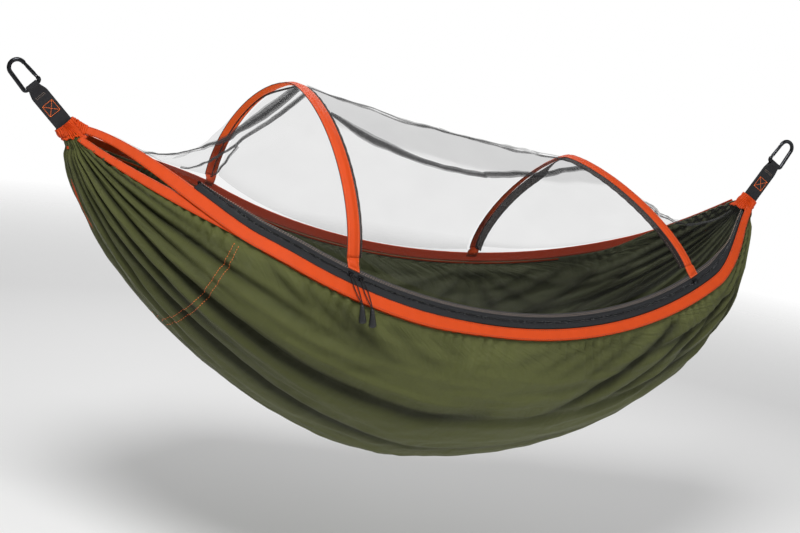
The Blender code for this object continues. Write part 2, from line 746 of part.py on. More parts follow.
def make_collar(name, side, material):
    gather = LEFT_GATHER if side < 0 else RIGHT_GATHER
    out, across = strap_ways(side)
    wide = collar_ring(side)
    count = len(wide)
    centre = sum(wide) / count
    mouth_centre = gather + out * COLLAR_MOUTH_OUT
    half_width = STRAP_WIDTH / 2 + COLLAR_THICKNESS + COLLAR_MOUTH_EASE
    half_thickness = COLLAR_MOUTH_THICKNESS / 2
    pull = COLLAR_LENGTH + COLLAR_MOUTH_OUT
    mouth = []
    for point in wide:
        offset = point - centre
        angle = math.atan2(offset @ across / half_width, offset[1] / half_thickness)
        mouth.append(
            mouth_centre + across * half_width * sin(angle) + ACROSS * half_thickness * cos(angle)
        )

    def place(row, column):
        index = column % count
        return hermite(
            mouth[index], -out * pull, wide[index], fan_way(side) * pull, np.array(row / COLLAR_ROWS)
        )

    sheet(name, place, COLLAR_ROWS, count, COLLAR_THICKNESS, material, wrapped=True, offset=-1.0)


def make_gather_cord(name, side, material):
    """A cord ring that the strap's inner bight hooks."""
    gather = LEFT_GATHER if side < 0 else RIGHT_GATHER
    out, across = strap_ways(side)
    start = gather - out * GATHER_CORD_INSET
    half = STRAP_INNER_WIDTH / 2 + CLEARANCE
    points = []
    for end in (1, -1):
        for step in range(7):
            angle = pi * step / 6
            shift = across * end * (half + GATHER_CORD_TURN * sin(angle))
            back = -out * GATHER_CORD_TURN * (1 - end * cos(angle))
            points.append(start + shift + back)
    rod(name, points, GATHER_CORD_RADIUS, material, closed=True, resolution=1)


def strap_path():
    """Middle line of the webbing's loop as (out, aside) pairs: round the bar, in, round the cord, out."""
    tight = (STRAP_THICKNESS + CLEARANCE) / 2
    bar = CARABINER_ROD_RADIUS + CLEARANCE + STRAP_THICKNESS / 2
    cord = GATHER_CORD_RADIUS + CLEARANCE + STRAP_THICKNESS / 2
    inner = -GATHER_CORD_INSET
    path = []
    for step in range(9):
        angle = pi / 2 - pi * step / 8
        path.append((STRAP_LENGTH + bar * cos(angle), bar * sin(angle)))
    open_end = STRAP_LENGTH - STRAP_OPENING_LENGTH
    path.append(((STRAP_LENGTH + open_end) / 2, -(bar + tight) / 2))
    path.append((open_end, -tight))
    path.append((open_end - STRAP_TAPER_LENGTH, -tight))
    path.append((COLLAR_MOUTH_OUT, -tight))
    for step in range(7):
        angle = -pi / 2 - pi * step / 6
        path.append((inner + cord * cos(angle), cord * sin(angle)))
    path.append((COLLAR_MOUTH_OUT, tight))
    path.append((open_end - STRAP_TAPER_LENGTH, tight))
    path.append((open_end, tight))
    path.append(((STRAP_LENGTH + open_end) / 2, (bar + tight) / 2))
    return path


def strap_width(out):
    """Width of the webbing, drawn in at the bar and at the cord."""
    to_bar = (STRAP_LENGTH - out) / STRAP_OPENING_LENGTH
    to_cord = (out + GATHER_CORD_INSET) / (COLLAR_MOUTH_OUT + GATHER_CORD_INSET)
    at_bar = STRAP_BIGHT_WIDTH + (STRAP_WIDTH - STRAP_BIGHT_WIDTH) * smooth(to_bar)
    at_cord = STRAP_INNER_WIDTH + (STRAP_WIDTH - STRAP_INNER_WIDTH) * smooth(to_cord)
    return min(at_bar, at_cord)


def make_strap(name, side, material):
    gather = LEFT_GATHER if side < 0 else RIGHT_GATHER
    out, across = strap_ways(side)
    path = strap_path()
    rings = []
    for index, (along, aside) in enumerate(path):
        before = np.array(path[index - 1])
        after = np.array(path[(index + 1) % len(path)])
        heading = unit(after - before)
        normal = np.array([heading[1], -heading[0]]) * STRAP_THICKNESS / 2
        half = strap_width(along) / 2
        ring = []
        for edge, face in ((-1, -1), (1, -1), (1, 1), (-1, 1)):
            place = np.array([along, aside]) + normal * face
            ring.append(gather + out * place[0] + ACROSS * place[1] + across * half * edge)
        rings.append(ring)
    sweep(name, rings, material)


# Carabiners


def carabiner_side_x(up):
    """Half-width of the ring's middle line at a height over its bar, along a straight side."""
    top = CARABINER_LENGTH - CARABINER_CROWN_RADIUS
    share = (up - CARABINER_CORNER) / (top - CARABINER_CORNER)
    return CARABINER_HALF_WIDTH + (CARABINER_CROWN_RADIUS - CARABINER_HALF_WIDTH) * share


def carabiner_path():
    """Middle line of the frame as (across, up), from the gate's nose round to its pin."""
    crown = CARABINER_LENGTH - CARABINER_CROWN_RADIUS
    corner = CARABINER_CORNER
    inner = CARABINER_HALF_WIDTH - corner
    nose = GATE_NOSE_UP + GATE_TONGUE_LENGTH / 2
    pin = GATE_PIN_UP - GATE_RADIUS - 2 * GATE_RUNNING_GAP
    path = [(carabiner_side_x(nose), nose)]
    for step in range(9):
        angle = pi * step / 8
        path.append((CARABINER_CROWN_RADIUS * cos(angle), crown + CARABINER_CROWN_RADIUS * sin(angle)))
    for step in range(5):
        angle = pi + pi / 2 * step / 4
        path.append((-inner + corner * cos(angle), corner + corner * sin(angle)))
    for step in range(5):
        angle = -pi / 2 + pi / 2 * step / 4
        path.append((inner + corner * cos(angle), corner + corner * sin(angle)))
    path.append((carabiner_side_x(pin), pin))
    return path


def make_carabiner(side, frame_material, gate_material, steel):
    name = "left" if side < 0 else "right"
    gather = LEFT_GATHER if side < 0 else RIGHT_GATHER
    out, across = strap_ways(side)
    bar = gather + out * STRAP_LENGTH
    local = basis(across, ACROSS, out, bar)

    def at(x, up, aside=0.0):
        return local @ Vector((x, aside, up))

    frame = rod(
        name + "_carabiner_frame",
        [at(x, up) for x, up in carabiner_path()],
        CARABINER_ROD_RADIUS,
        frame_material,
        pivot=bar,
    )
    pin_x = carabiner_side_x(GATE_PIN_UP)
    nose_x = carabiner_side_x(GATE_NOSE_UP)
    gate_way = unit([nose_x - pin_x, 0.0, GATE_NOSE_UP - GATE_PIN_UP])
    gate_side = np.array([gate_way[2], 0.0, -gate_way[0]])
    gate_length = math.hypot(nose_x - pin_x, GATE_NOSE_UP - GATE_PIN_UP)
    gate_base = local @ basis(gate_side, ACROSS, gate_way, (pin_x, 0.0, GATE_PIN_UP))
    pin_place = gate_base.to_translation()
    thin = GATE_TONGUE_THICKNESS / 2
    reach = GATE_RADIUS + 2 * GATE_RUNNING_GAP + CARABINER_ROD_RADIUS / 2
    width = GATE_RADIUS - 2 * GATE_RUNNING_GAP
    tongue_end = GATE_PIN_RADIUS * 2
    over = CARABINER_ROD_RADIUS / 2
    nose_low = gate_length - GATE_TONGUE_LENGTH
    tongues = boxes(
        name + "_tongues",
        [((-width, -thin, -reach), (width, thin, 0.0))],
        gate_base,
        steel,
        pivot=bar,
    )
    disc = turned(
        name + "_tongue_disc",
        [(0, -thin), (width, -thin), (width, thin), (0, thin)],
        gate_base @ Matrix.Rotation(pi / 2, 4, "X"),
        steel,
        pivot=bar,
        steps=16,
    )
    nose_tongue = boxes(
        name + "_nose_tongue",
        [((-width, -thin, nose_low), (width, thin, gate_length + over + tongue_end))],
        gate_base,
        steel,
        pivot=bar,
    )
    pin_cut = turned(
        name + "_pin_cut",
        [(0, -GATE_RADIUS * 2), (GATE_PIN_RADIUS + GATE_RUNNING_GAP, -GATE_RADIUS * 2),
         (GATE_PIN_RADIUS + GATE_RUNNING_GAP, GATE_RADIUS * 2), (0, GATE_RADIUS * 2)],
        gate_base @ Matrix.Rotation(pi / 2, 4, "X"),
        steel,
        pivot=bar,
    )
    combine(frame, [tongues, disc, nose_tongue], "UNION")
    combine(frame, [pin_cut], "DIFFERENCE")

    slot = thin + GATE_RUNNING_GAP
    deep = gate_length
    nose_slot = nose_low - 2 * GATE_RUNNING_GAP
    angles = np.linspace(-pi / 2, 0, 5)
    dome = [(GATE_RADIUS * cos(angle), GATE_RADIUS * sin(angle)) for angle in angles]
    profile = [(0.0, -GATE_RADIUS), *dome[1:], (GATE_RADIUS, deep), (0.0, deep)]
    gate = turned(name + "_carabiner_gate", profile, gate_base, gate_material, pivot=pin_place)
    pin_slot_top = width + 3 * GATE_RUNNING_GAP
    cuts = boxes(
        name + "_gate_cuts",
        [
            ((-2 * GATE_RADIUS, -slot, -2 * GATE_RADIUS), (2 * GATE_RADIUS, slot, pin_slot_top)),
            ((-2 * GATE_RADIUS, -slot, nose_slot), (2 * GATE_RADIUS, slot, 2 * deep)),
        ],
        gate_base,
        steel,
        pivot=pin_place,
    )
    bore = turned(
        name + "_gate_bore",
        [(0, 0), (GATE_SPRING_RADIUS + GATE_RUNNING_GAP, 0),
         (GATE_SPRING_RADIUS + GATE_RUNNING_GAP, pin_slot_top + GATE_SPRING_LENGTH + GATE_PLUNGER_LENGTH),
         (0, pin_slot_top + GATE_SPRING_LENGTH + GATE_PLUNGER_LENGTH)],
        gate_base,
        steel,
        pivot=pin_place,
    )
    pin_hole = turned(
        name + "_pin_hole",
        [(0, -GATE_RADIUS * 2), (GATE_PIN_RADIUS + GATE_RUNNING_GAP, -GATE_RADIUS * 2),
         (GATE_PIN_RADIUS + GATE_RUNNING_GAP, GATE_RADIUS * 2), (0, GATE_RADIUS * 2)],
        gate_base @ Matrix.Rotation(pi / 2, 4, "X"),
        steel,
        pivot=pin_place,
    )
    combine(gate, [cuts, bore, pin_hole], "DIFFERENCE")
    turned(
        name + "_gate_pin",
        [
            (0, -GATE_RADIUS), (GATE_PIN_RADIUS, -GATE_RADIUS),
            (GATE_PIN_RADIUS, GATE_RADIUS), (0, GATE_RADIUS),
        ],
        gate_base @ Matrix.Rotation(pi / 2, 4, "X"),
        steel,
        pivot=bar,
        steps=10,
    )
    plunger_low = width + GATE_RUNNING_GAP
    plunger_high = plunger_low + GATE_PLUNGER_LENGTH
    turned(
        name + "_gate_plunger",
        [
            (0, plunger_low), (GATE_SPRING_RADIUS, plunger_low),
            (GATE_SPRING_RADIUS, plunger_high), (0, plunger_high),
        ],
        gate_base,
        steel,
        pivot=pin_place,
        steps=10,
    )
    make_gate_spring(name, gate_base, plunger_high + CLEARANCE + GATE_SPRING_WIRE, steel, pin_place)


def make_gate_spring(name, gate_base, low, steel, pivot):
    """Coil spring behind the plunger, one unbroken wire."""
    radius = GATE_SPRING_RADIUS - GATE_SPRING_WIRE
    length = GATE_SPRING_LENGTH - 4 * GATE_SPRING_WIRE
    count = GATE_SPRING_TURNS * GATE_SPRING_SIDES
    points = []
    for step in range(count + 1):
        angle = 2 * pi * step / GATE_SPRING_SIDES
        up = low + length * step / count
        points.append(gate_base @ Vector((radius * cos(angle), radius * sin(angle), up)))
    rod(name + "_gate_spring", points, GATE_SPRING_WIRE, steel, pivot=pivot, resolution=0)


# Hoops


def near_foot(sweep):
    up = NET_TAPE_HIGH + HOOP_NEAR_FOOT_UP
    return arc_point(sweep, RIM_RADIUS - up)


def far_foot(sweep):
    up = HEM_WIDTH / 2 + HOOP_FAR_FOOT_UP
    share = share_of_sweep(sweep)
    return on_band(rim_at, share, up, 0.0) * MIRRORED


def hoop_ways(near, far, lean):
    """Way from foot to foot, up the arch, and square to its plane."""
    over = unit(far - near)
    up = unit(UPWARD - over * (UPWARD @ over))
    side = np.cross(over, up)
    up = up * cos(lean) + side * sin(lean)
    return over, up, np.cross(over, up)


class Hoop:
    """The arch between two feet on the rims."""

    def __init__(self, name, near_sweep, far_sweep, height, lean, power):
        self.name = name
        self.near = near_foot(near_sweep)
        self.far = far_foot(far_sweep)
        self.height = height
        self.power = 2 / power
        self.over, self.up, self.square = hoop_ways(self.near, self.far, lean)
        angles = np.linspace(0.0, pi, 241)
        dense = np.array([self.at_angle(angle) for angle in angles])
        run = np.concatenate([[0.0], np.cumsum(np.linalg.norm(np.diff(dense, axis=0), axis=1))])
        self.length = run[-1]
        self.dense = dense
        self.shares = run / run[-1]

    def at_angle(self, angle):
        middle = (self.near + self.far) / 2
        half = (self.far - self.near) / 2
        across = math.copysign(abs(cos(angle)) ** self.power, cos(angle))
        return middle - half * across + self.up * self.height * abs(sin(angle)) ** self.power

    def at(self, share):
        return np.array([np.interp(share, self.shares, self.dense[:, axis]) for axis in range(3)])

    def leg_way(self, near):
        """Way up the leg from a foot, along the rod's first length."""
        foot, other = (self.near, 1 / HOOP_STEPS) if near else (self.far, 1 - 1 / HOOP_STEPS)
        return unit(self.at(other) - foot)

    def rod_points(self):
        start = TIP_LENGTH - TIP_BORE_DEPTH + CLEARANCE
        inner = [self.at(step / HOOP_STEPS) for step in range(1, HOOP_STEPS)]
        first = self.near + self.leg_way(True) * start
        last = self.far + self.leg_way(False) * start
        return [first, *inner, last]

    def sleeve_points(self):
        first = self.near + self.leg_way(True) * SLEEVE_FOOT_GAP
        last = self.far + self.leg_way(False) * SLEEVE_FOOT_GAP
        return [first, *self.rod_points()[1:-1], last]


HOOP_1 = Hoop("hoop_1", HOOP_1_NEAR_SWEEP, HOOP_1_FAR_SWEEP, HOOP_1_HEIGHT, HOOP_1_LEAN, HOOP_1_POWER_SHARE)
HOOP_2 = Hoop("hoop_2", HOOP_2_NEAR_SWEEP, HOOP_2_FAR_SWEEP, HOOP_2_HEIGHT, HOOP_2_LEAN, HOOP_2_POWER_SHARE)


def make_hoop(hoop, roof_side, orange, steel, rubber, mesh_grey):
    """Rod, its tips, the sleeve round it and the net's binding on the roof's side of it."""
    rod(hoop.name + "_rod", hoop.rod_points(), HOOP_ROD_RADIUS, steel, pivot=hoop.near, resolution=1)
    line = hoop.sleeve_points()
    rows = len(line) - 1

    def sleeve_place(row, column):
        along = unit(line[min(row + 1, rows)] - line[max(row - 1, 0)])
        angle = 2 * pi * column / SLEEVE_SIDES
        aside = hoop.square * SLEEVE_WIDTH / 2 * cos(angle)
        return line[row] + aside + np.cross(along, hoop.square) * SLEEVE_DEPTH / 2 * sin(angle)

    sheet(
        hoop.name + "_sleeve", sleeve_place, rows, SLEEVE_SIDES, SLEEVE_WALL, orange,
        wrapped=True, pivot=hoop.near, offset=-1.0,
    )

    def binding_place(row, column):
        reach = SLEEVE_WIDTH / 2 + 2 * CLEARANCE + BINDING_WIDTH * column
        return line[row] + hoop.square * roof_side * reach

    sheet(
        hoop.name + "_net_binding", binding_place, rows, 1, BINDING_THICKNESS, mesh_grey,
        pivot=hoop.near,
    )
    make_tips(hoop, rubber)


def leg_matrix(hoop, near):
    """Local frame at a foot, Z up the leg."""
    up = hoop.leg_way(near)
    side = unit(hoop.square - up * (hoop.square @ up))
    return basis(side, np.cross(up, side), up, hoop.near if near else hoop.far)


def make_tips(hoop, rubber):
    """Round-ended caps on both ends of the rod."""
    angles = np.linspace(-pi / 2, 0, 5)
    ball = [(TIP_RADIUS * cos(angle), TIP_RADIUS * sin(angle)) for angle in angles]
    bore = HOOP_ROD_RADIUS + TIP_FIT
    floor = TIP_LENGTH - TIP_BORE_DEPTH
    profile = [
        (0.0, -TIP_RADIUS), *ball[1:], (TIP_RADIUS, TIP_LENGTH),
        (bore, TIP_LENGTH), (bore, floor), (0.0, floor),
    ]
    for near, end in ((True, "near"), (False, "far")):
        name = f"{hoop.name}_{end}_tip"
        turned(name, profile, leg_matrix(hoop, near), rubber, steps=10, pivot=hoop.near)


def make_pocket(name, hoop, near, material):
    """Stitched cup that holds a rod tip, on a tab over the inside of the hem."""
    foot = hoop.near if near else hoop.far
    leg = leg_matrix(hoop, near)
    inner = TIP_RADIUS + POCKET_RUNNING_GAP
    outer = inner + POCKET_WALL
    floor = -POCKET_DEPTH
    profile = [
        (0.0, floor), (outer, floor), (outer, 0.0), (inner, 0.0),
        (inner, floor + POCKET_WALL), (0.0, floor + POCKET_WALL),
    ]
    turned(name, profile, leg, material, pivot=foot)


# Net panels


def straight(start, end):
    """Line between two points, as a function of a share from 0 to 1."""
    return lambda share: start + (end - start) * share


def stretched_over(left, right, near, far, hold=1.0, droop=1.0):
    """Surface over four boundary lines.

    A larger hold keeps the rims' bend out of its middle; a larger droop lets it hang from the right line.
    """

    def level(u, v):
        return left(v) + (right(v) - left(v)) * np.array([u, u, u**droop])

    def place(u, v):
        near_bend = near(u) - level(u, 0.0)
        far_bend = far(u) - level(u, 1.0)
        return level(u, v) + (1 - v) ** hold * near_bend + v**hold * far_bend

    return place


def near_net_edge(share):
    return on_band(top_hem_at, share, NET_TAPE_HIGH + NET_EDGE_GAP, 0.0)


def far_net_edge(share):
    return on_band(rim_at, share, HEM_WIDTH / 2 + NET_EDGE_GAP, 0.0) * MIRRORED


def make_net(mesh_grey):
    """Three net panels: the roof between the hoops and one at each end."""
    near_1 = share_of_sweep(HOOP_1_NEAR_SWEEP)
    near_2 = share_of_sweep(HOOP_2_NEAR_SWEEP)
    far_1 = share_of_sweep(HOOP_1_FAR_SWEEP)
    far_2 = share_of_sweep(HOOP_2_FAR_SWEEP)
    offset = SLEEVE_WIDTH / 2 + BINDING_WIDTH + 4 * CLEARANCE

    def beside(hoop, side, reach):
        foot_run = SLEEVE_FOOT_GAP / hoop.length
        return lambda v: hoop.at(foot_run + (1 - 2 * foot_run) * v) + hoop.square * side * reach

    plain = SLEEVE_WIDTH / 2 + 2 * CLEARANCE
    roof_left = beside(HOOP_1, 1, offset)
    roof_right = beside(HOOP_2, -1, offset)
    left_right = beside(HOOP_1, -1, plain)
    right_left = beside(HOOP_2, 1, plain)
    run = offset / RIM_LENGTH

    def run_between(edge, start, end):
        return lambda u: edge(start + (end - start) * u)

    def blended(edge, left_point, right_point, start, end):
        """An edge line that meets the hoop lines at its two corners."""
        line = run_between(edge, start, end)
        first, last = line(0.0), line(1.0)
        return lambda u: line(u) + (left_point - first) * (1 - u) ** 6 + (right_point - last) * u**6

    roof = stretched_over(
        roof_left, roof_right,
        blended(near_net_edge, roof_left(0.0), roof_right(0.0), near_1 + run, near_2 - run),
        blended(far_net_edge, roof_left(1.0), roof_right(1.0), far_1 + run, far_2 - run),
        ROOF_HOLD_SHARE,
    )
    net_sheet("roof_net", roof, 10, 12, NET_ROOF_SAG, mesh_grey)
    for name, side, hoop_line, near_share, far_share, hold, droop, sag in (
        ("left_net", -1, left_right, near_1 - run, far_1 - run, LEFT_HOLD_SHARE, LEFT_DROOP_SHARE, LEFT_NET_SAG),
        ("right_net", 1, right_left, near_2 + run, far_2 + run, 1.0, RIGHT_DROOP_SHARE, RIGHT_NET_SAG),
    ):
        gather = LEFT_GATHER if side < 0 else RIGHT_GATHER
        near_end = end_share(near_net_edge, gather)
        far_end = end_share(far_net_edge, gather)
        near_corner = near_net_edge(near_end)
        far_corner = far_net_edge(far_end)
        near_line = blended(near_net_edge, near_corner, hoop_line(0.0), near_end, near_share)
        far_line = blended(far_net_edge, far_corner, hoop_line(1.0), far_end, far_share)
        closing = straight(near_corner, far_corner)
        place = stretched_over(closing, hoop_line, near_line, far_line, hold, droop)
        net_sheet(name, place, 8, 10, sag, mesh_grey)


def end_share(edge, gather):
    """Share of an edge line at the net's closed end near a gather."""
    close = LEFT_NET_CLOSE if gather[0] < 0 else RIGHT_NET_CLOSE
    low, high = (0.0, 0.5) if gather[0] < 0 else (1.0, 0.5)
    for _ in range(40):
        middle = (low + high) / 2
        if np.linalg.norm(edge(middle) - gather) > close:
            high = middle
        else:
            low = middle
    return high


def net_sheet(name, surface, rows, columns, sag, material):
    def place(row, column):
        u, v = row / rows, column / columns
        drop = sag * 16 * u * (1 - u) * v * (1 - v)
        return surface(u, v) - UPWARD * drop

    sheet(name, place, rows, columns, NET_THICKNESS, material)


# Zip sliders and pulls


def slider_frame(sweep):
    """Local frame at the coil's middle: X along the rim, Y up the hem, Z out of its face."""
    return basis(arc_heading(sweep), -arc_out(sweep), ARC_AXIS, arc_point(sweep, RIM_RADIUS - COIL_MIDDLE))


def make_slider(name, sweep, metal):
    frame = slider_frame(sweep)
    half = SLIDER_LENGTH / 2
    wide = SLIDER_WIDTH / 2
    face = COIL_THICKNESS / 2 + SLIDER_GAP
    plate = face + SLIDER_PLATE
    slot = ZIP_TAPE_THICKNESS / 2 + SLIDER_GAP
    inner = wide - SLIDER_FLANGE
    post = SLIDER_POST_LENGTH / 2
    thin = SLIDER_POST / 2
    crown = plate + BAIL_OPENING
    bail = BAIL_LENGTH / 2
    bar = BAIL_WIDTH / 2
    body = boxes(name, [((-half, -wide, face), (half, wide, plate))], frame, metal, frame.to_translation())
    pieces = [
        ((-half, -wide, -plate), (half, wide, -face)),
        ((-post, -thin, -plate + SLIDER_PLATE / 2), (post, thin, plate - SLIDER_PLATE / 2)),
        ((-bail, -bar, plate - SLIDER_PLATE / 2), (-bail + BAIL_THICKNESS, bar, crown + BAIL_THICKNESS / 2)),
        ((bail - BAIL_THICKNESS, -bar, plate - SLIDER_PLATE / 2), (bail, bar, crown + BAIL_THICKNESS / 2)),
        ((-bail, -bar, crown), (bail, bar, crown + BAIL_THICKNESS)),
    ]
    for low, high in ((-wide, -inner), (inner, wide)):
        pieces.append(((-half, low, slot), (half, high, face + SLIDER_PLATE / 2)))
        pieces.append(((-half, low, -face - SLIDER_PLATE / 2), (half, high, -slot)))
    others = [
        boxes(f"{name}_piece", [corners], frame, metal, frame.to_translation()) for corners in pieces
    ]
    combine(body, others, "UNION")
    return frame


def bail_middle(frame):
    """Middle of the bail's bar, where a pull hangs."""
    plate = COIL_THICKNESS / 2 + SLIDER_GAP + SLIDER_PLATE
    return frame @ Vector((0.0, 0.0, plate + BAIL_OPENING + BAIL_THICKNESS / 2))


def hang_ways(frame):
    """Ways of a hanging pull: down over the hem, aside, and out of its face."""
    rim_way = np.array(frame.to_3x3().col[0])
    down = np.array(frame.to_3x3().col[1]) * -1
    out = ARC_AXIS
    level = unit(np.cross(UPWARD, out))
    steep = np.cross(out, level)
    steep = steep if steep[2] < 0 else -steep
    aside = level if level @ rim_way > 0 else -level
    down = steep * cos(PULL_LEAN) + aside * sin(PULL_LEAN)
    return down, np.cross(out, down), out


def ring_middle(frame):
    """Centre of the ring that hangs on a slider's bail."""
    drop = RING_RADIUS - RING_WIRE - BAIL_WIDTH / 2 - 2 * CLEARANCE
    return np.array(bail_middle(frame)) + hang_ways(frame)[0] * drop


def ring_foot(frame):
    """Middle of the ring's wire where the cord hangs on it."""
    return ring_middle(frame) + hang_ways(frame)[0] * RING_RADIUS


def make_pull(name, frame, metal, cord_material, rubber):
    """Ring, cord loop and moulded grip that hang from a slider's bail."""
    hub = np.array(bail_middle(frame))
    down, aside, out = hang_ways(frame)
    ring_centre = ring_middle(frame)
    knot = ring_foot(frame)
    ring = []
    for step in range(12):
        angle = 2 * pi * step / 12
        ring.append(ring_centre + down * RING_RADIUS * cos(angle) + out * RING_RADIUS * sin(angle))
    rod(name + "_ring", ring, RING_WIRE, metal, closed=True, pivot=hub, resolution=0)
    hem_way = -np.array(frame.to_3x3().col[1])
    length = (COIL_MIDDLE + HEM_WIDTH / 2 + CORD_OVERHANG) / (down @ hem_way) - (knot - hub) @ down
    hang = unit(np.array([sin(PULL_LEAN), 0.0, -cos(PULL_LEAN)]))
    knee = knot + down * length + out * CORD_STAND_OUT
    half = CORD_LOOP_HALF_WIDTH
    foot = CORD_RADIUS + CLEARANCE / 2
    leg = [
        down * length * run + aside * half * spread + out * CORD_STAND_OUT * smooth(run)
        for run, spread in ((0.12, 0.60), (0.32, 1.0), (0.58, 0.85), (0.82, 0.45))
    ]
    leg = [knot + point for point in leg]
    leg += [knee + aside * foot, knee + hang * GRIP_BORE_DEPTH + aside * foot]
    wrap = RING_WIRE + CLEARANCE + CORD_RADIUS
    over = [
        knot - down * wrap * cos(angle) + aside * wrap * sin(angle)
        for angle in (radians(-75), radians(-35), 0.0, radians(35), radians(75))
    ]
    points = [point - 2 * aside * ((point - knot) @ aside) for point in reversed(leg)]
    rod(name + "_cord", points + over + leg, CORD_RADIUS, cord_material, pivot=ring_centre, resolution=1)
    grip_top = knee + hang * CORD_RADIUS
    side = unit(aside - hang * (aside @ hang))
    matrix = basis(side, np.cross(-hang, side), -hang, grip_top)
    neck, full = GRIP_NECK_RADIUS, GRIP_RADIUS
    bore = neck - CLEARANCE
    outer = neck + CORD_RADIUS
    profile_shares = ((0.30, 0.62), (0.60, 0.80), (0.82, 1.0), (0.93, 0.92), (1.0, 0.55))
    profile = [(0.0, -GRIP_BORE_DEPTH), (bore, -GRIP_BORE_DEPTH), (bore, 0.0), (outer, 0.0)]
    profile += [(full * width, -GRIP_LENGTH * run) for run, width in profile_shares]
    profile.append((0.0, -GRIP_LENGTH))
    turned(name + "_grip", profile, matrix, rubber, steps=12, pivot=ring_centre)


def build():
    olive = make_material("olive_nylon", OLIVE, 0.45)
    orange = make_material("orange_nylon", ORANGE, 0.50)
    webbing = make_material("charcoal_webbing", CHARCOAL, 0.60)
    net = make_material("net_mesh", NET_GREY, 0.60, alpha=0.35)
    tape = make_material("black_tape", BLACK, 0.55)
    coil = make_material("black_coil", BLACK, 0.25)
    alloy = make_material("black_alloy", CHARCOAL, 0.22, metallic=0.8)
    steel = make_material("bright_steel", STEEL, 0.30, metallic=1.0)
    rubber = make_material("black_rubber", CHARCOAL, 0.45)
    make_cloth(olive)
    make_hems(orange)
    make_far_side(orange, net)
    make_zip(tape, coil, net, steel)
    for side, name in ((-1, "left"), (1, "right")):
        make_collar(name + "_end_channel", side, orange)
        make_gather_cord(name + "_gathering_cord", side, webbing)
        make_strap(name + "_webbing_loop", side, webbing)
        make_carabiner(side, alloy, alloy, steel)
    for hoop, roof_side in ((HOOP_1, 1), (HOOP_2, -1)):
        make_hoop(hoop, roof_side, orange, steel, rubber, net)
        make_pocket(hoop.name + "_near_pocket", hoop, True, tape)
        make_pocket(hoop.name + "_far_pocket", hoop, False, tape)
    make_net(net)
    for name, sweep, has_pull in (
        ("slider_a", SLIDER_A_SWEEP, True),
        ("slider_b", SLIDER_B_SWEEP, True),
        ("slider_c", SLIDER_C_SWEEP, False),
    ):
        frame = make_slider(name, sweep, alloy)
        if has_pull:
            make_pull(name.replace("slider", "pull"), frame, alloy, webbing, rubber)


clear_scene()
FRAME = bpy.data.objects.new("hammock_frame", None)
bpy.context.scene.collection.objects.link(FRAME)
LEFT_OUT, _ = strap_ways(-1)
HANG_REACH = STRAP_LENGTH + CARABINER_LENGTH - CARABINER_ROD_RADIUS
FRAME.location = -(LEFT_GATHER + LEFT_OUT * HANG_REACH)
build()
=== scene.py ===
"""Hammock tent: the dressed model of a gathered-end hammock with a zipped insect net over two hoops."""

from math import cos, pi, radians, sin

import bmesh
import bpy
import numpy as np
from bpy.props import FloatProperty, FloatVectorProperty, IntProperty, PointerProperty
from bpy.types import Operator, Panel, PropertyGroup
from mathutils import Matrix, Vector, noise


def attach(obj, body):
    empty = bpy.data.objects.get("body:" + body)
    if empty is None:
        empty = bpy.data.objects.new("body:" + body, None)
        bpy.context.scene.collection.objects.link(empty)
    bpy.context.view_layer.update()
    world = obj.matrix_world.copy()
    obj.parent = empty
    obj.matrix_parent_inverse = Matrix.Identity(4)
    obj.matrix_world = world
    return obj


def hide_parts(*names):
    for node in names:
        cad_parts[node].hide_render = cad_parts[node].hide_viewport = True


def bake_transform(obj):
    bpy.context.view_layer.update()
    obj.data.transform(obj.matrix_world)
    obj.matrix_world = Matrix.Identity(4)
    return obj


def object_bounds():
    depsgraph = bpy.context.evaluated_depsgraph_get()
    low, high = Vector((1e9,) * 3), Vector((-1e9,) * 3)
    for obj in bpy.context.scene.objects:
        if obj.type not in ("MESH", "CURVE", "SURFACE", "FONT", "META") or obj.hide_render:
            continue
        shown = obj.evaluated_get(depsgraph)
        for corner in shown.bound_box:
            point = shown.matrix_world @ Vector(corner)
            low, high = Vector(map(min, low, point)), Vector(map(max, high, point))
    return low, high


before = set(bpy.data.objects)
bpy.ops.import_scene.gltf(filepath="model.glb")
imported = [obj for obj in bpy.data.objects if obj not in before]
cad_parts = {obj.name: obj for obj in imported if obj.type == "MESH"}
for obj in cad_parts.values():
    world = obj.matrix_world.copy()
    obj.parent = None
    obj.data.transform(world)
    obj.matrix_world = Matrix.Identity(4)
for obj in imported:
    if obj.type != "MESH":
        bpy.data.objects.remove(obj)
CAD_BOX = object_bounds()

bl_info = {
    "name": "Hammock Tent",
    "version": (1, 0, 0),
    "blender": (4, 5, 0),
    "location": "View3D > Sidebar > Hammock Tent",
    "description": "Builds the cloth, net, zip, hoops, webbing and carabiners of a hammock tent",
    "category": "Object",
}

# Whole object, in metres. The gathers lie on the X axis of the hammock's own frame, +Y is the far side
SPAN = 2.0
GATHER_HALF_WIDTH = 0.030
CLEARANCE = 0.0003
RIM_MIDDLE_X = 0.113
RIM_HALF_WIDTH = 0.475
RIM_DROP = 0.340
RIM_RADIUS = 1.289
RIM_YAW = radians(7.8)
RIM_PITCH = radians(-1.8)
RIM_LAYOVER = radians(52.5)
RIM_LEFT_SWEEP = radians(27.8)
RIM_RIGHT_SWEEP = radians(32.2)
LEFT_GATHER_PULL = 0.456
LEFT_ARC_PULL = 0.464
RIGHT_ARC_PULL = 0.353
RIGHT_GATHER_PULL = 0.276
LEFT_RIM_HEADING = (1.0, -0.578, -0.728)
RIGHT_RIM_HEADING = (1.0, 0.590, 0.818)
GATHER_FACING = (0.20, -0.85, 0.50)

